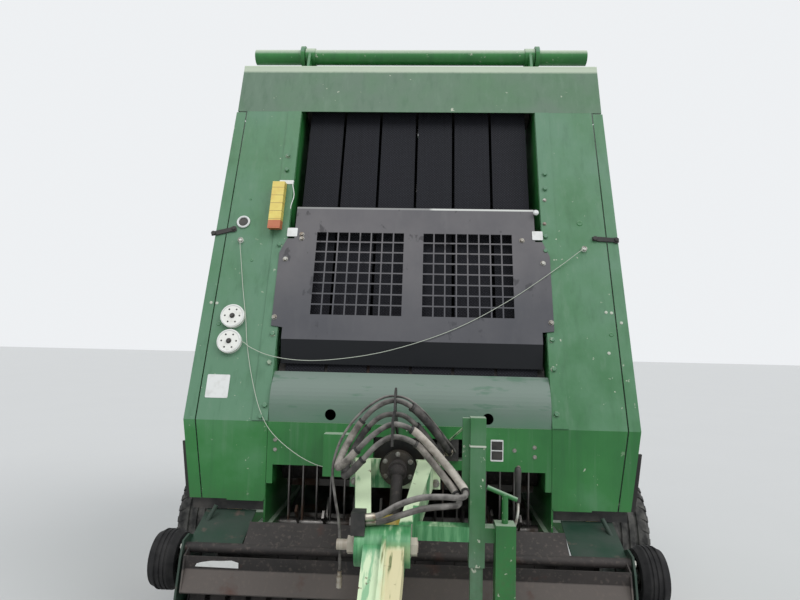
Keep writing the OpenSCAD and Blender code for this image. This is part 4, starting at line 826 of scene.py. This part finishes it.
# TYRES AND RIMS
# Ribbed tyres on steel rims. Dust has settled in the grooves and greyed the rubber.
tyre_rubber = Finish("tyre_rubber", 0.85)
powder = tyre_rubber.noise(14, 6)
tyre_black = tyre_rubber.over(tyre_rubber.band(powder, 0.35, 0.72), (0.006, 0.006, 0.007), (0.028, 0.027, 0.027))
tyre_rubber.shader.inputs["Specular IOR Level"].default_value = 0.3
tyre_rubber.show(tyre_black, bump=tyre_rubber.noise(120, 3), depth=0.001, strength=0.4)
dress(tyre_rubber, "gauge_tyre_left", "gauge_tyre_right")
dusty_tyre = Finish("dusty_tyre", 0.9)
caked = dusty_tyre.noise(18, 6)
dusty_black = dusty_tyre.over(dusty_tyre.band(caked, 0.38, 0.66), (0.018, 0.018, 0.018), (0.095, 0.092, 0.086))
dusty_tyre.show(dusty_black, bump=caked + dusty_tyre.noise(120, 3), depth=0.002, strength=0.4)
dress(dusty_tyre, "tyre_left", "tyre_right")

rim_paint = Finish("rim_enamel")
flakes = rim_paint.noise(12, 6)
rim_paint.show(
    rim_paint.over(rim_paint.band(flakes, 0.58, 0.66), (0.60, 0.42, 0.05), (0.09, 0.05, 0.03)),
    rim_paint.band(flakes, 0.4, 0.7, 0.4, 0.75), bump=flakes, depth=0.001
)
dress(rim_paint, "rim_left", "rim_right")

# Slanted lugs stand on the shoulders of the main tyres. Each rim has six wheel nuts, a pressed
# hub cap and a rubber valve. A lug has three rows of corners from the tread to the sidewall.
wheel_x, wheel_y, wheel_z = 1.208, 0.850, 0.380
lug_count, lug_width = 38, 0.085
# distance from the tyre's middle, turn ahead, and the radius of the lug's foot and of its crown
lug_rows = ((0.058, 0.0, 0.368, 0.380), (0.100, 0.05, 0.362, 0.3785), (0.125, 0.07, 0.338, 0.354))
cap = [(0.0, 0.018), (0.030, 0.016), (0.046, 0.008), (0.050, 0.0), (0.050, -0.006)]
valve = [(0.006, -0.004), (0.005, 0.030), (0.0035, 0.032), (0, 0.033)]
for side, hand in ((-1, "left"), (1, "right")):
    hub = Vector((side * wheel_x, wheel_y, wheel_z))
    lugs = Shape()
    for k in range(lug_count):
        for edge in (-1, 1):
            turn = 2 * math.pi * (k + (0.5 if edge > 0 else 0.0)) / lug_count
            corners = []
            for aside, lead, foot, crown in lug_rows:
                for angle in (turn + lead, turn + lead + lug_width):
                    for reach in (foot, crown):
                        spot = Vector((edge * aside, reach * math.cos(angle), reach * math.sin(angle)))
                        corners.append(lugs.mesh.verts.new(hub + spot))
            for row in (0, 4):
                block = corners[row:row + 8]
                for quad in ((0, 1, 5, 4), (2, 6, 7, 3), (1, 3, 7, 5), (0, 4, 6, 2)):
                    lugs.mesh.faces.new([block[i] for i in quad])
            lugs.mesh.faces.new([corners[i] for i in (0, 2, 3, 1)])
            lugs.mesh.faces.new([corners[i] for i in (8, 9, 11, 10)])
    lugs.done("lugs_" + hand, "wheel_" + hand, "tyre_rubber", dusty_tyre)
    nuts = Shape()
    for u, v in around(6, 0.100):
        nuts.bolt(hub + Vector((-side * 0.0095, u, v)), (side, 0, 0), 0.024, 0.018)
    nuts.turned(cap, hub + Vector((side * 0.040, 0, 0)), (side, 0, 0), 28)
    nuts.turned(valve, hub + Vector((side * 0.006, 0, 0.160)), (side, 0, -0.4), 12)
    nuts.done("wheel_nuts_" + hand, "wheel_" + hand, "worn_steel", zinc)

# STUDIO
# A pale floor under soft daylight: a bright sky all round, one broad light high ahead of the
# drawbar and one at its right. What the camera and reflections see of the sky is brighter.
floor = bpy.data.meshes.new("floor")
floor.from_pydata([(-60, -60, 0), (60, -60, 0), (60, 60, 0), (-60, 60, 0)], [], [(0, 1, 2, 3)])
ground = bpy.data.objects.new("floor", floor)
bpy.context.scene.collection.objects.link(ground)
ground_paint = Finish("pale_floor", 0.9)
ground_paint.show(ground_paint.over(ground_paint.noise(0.8, 3), (0.545, 0.55, 0.55), (0.565, 0.57, 0.57)))
floor.materials.append(ground_paint.material)

sky = bpy.data.worlds.new("sky")
sky.use_nodes = True
bpy.context.scene.world = sky
nodes, links = sky.node_tree.nodes, sky.node_tree.links
choice, plain = nodes.new("ShaderNodeMixShader"), nodes.new("ShaderNodeBackground")
halves = ((nodes["Background"], (0.93, 0.97, 1.0), 0.62), (plain, (0.90, 0.92, 0.94), 0.95))
for slot, (background, colour, strength) in enumerate(halves, 1):
    background.inputs["Color"].default_value = (*colour, 1.0)
    background.inputs["Strength"].default_value = strength
    links.new(background.outputs[0], choice.inputs[slot])
rays = nodes.new("ShaderNodeLightPath").outputs
seen = rays["Is Camera Ray"]
for kind in ("Is Glossy Ray", "Is Transmission Ray"):
    either = nodes.new("ShaderNodeMath")
    either.operation = "MAXIMUM"
    links.new(seen, either.inputs[0])
    links.new(rays[kind], either.inputs[1])
    seen = either.outputs[0]
links.new(seen, choice.inputs[0])
links.new(choice.outputs[0], nodes["World Output"].inputs[0])


def daylight(name, way, power):
    light = bpy.data.lights.new(name, "SUN")
    light.angle = 0.6
    light.energy = power
    holder = bpy.data.objects.new(name, light)
    holder.matrix_world = Vector(way).to_track_quat("-Z", "Y").to_matrix().to_4x4()
    bpy.context.scene.collection.objects.link(holder)


daylight("high_light", (1.0, 5.0, -7.5), 1.15)
daylight("side_light", (-5.0, 3.0, -5.0), 1.25)
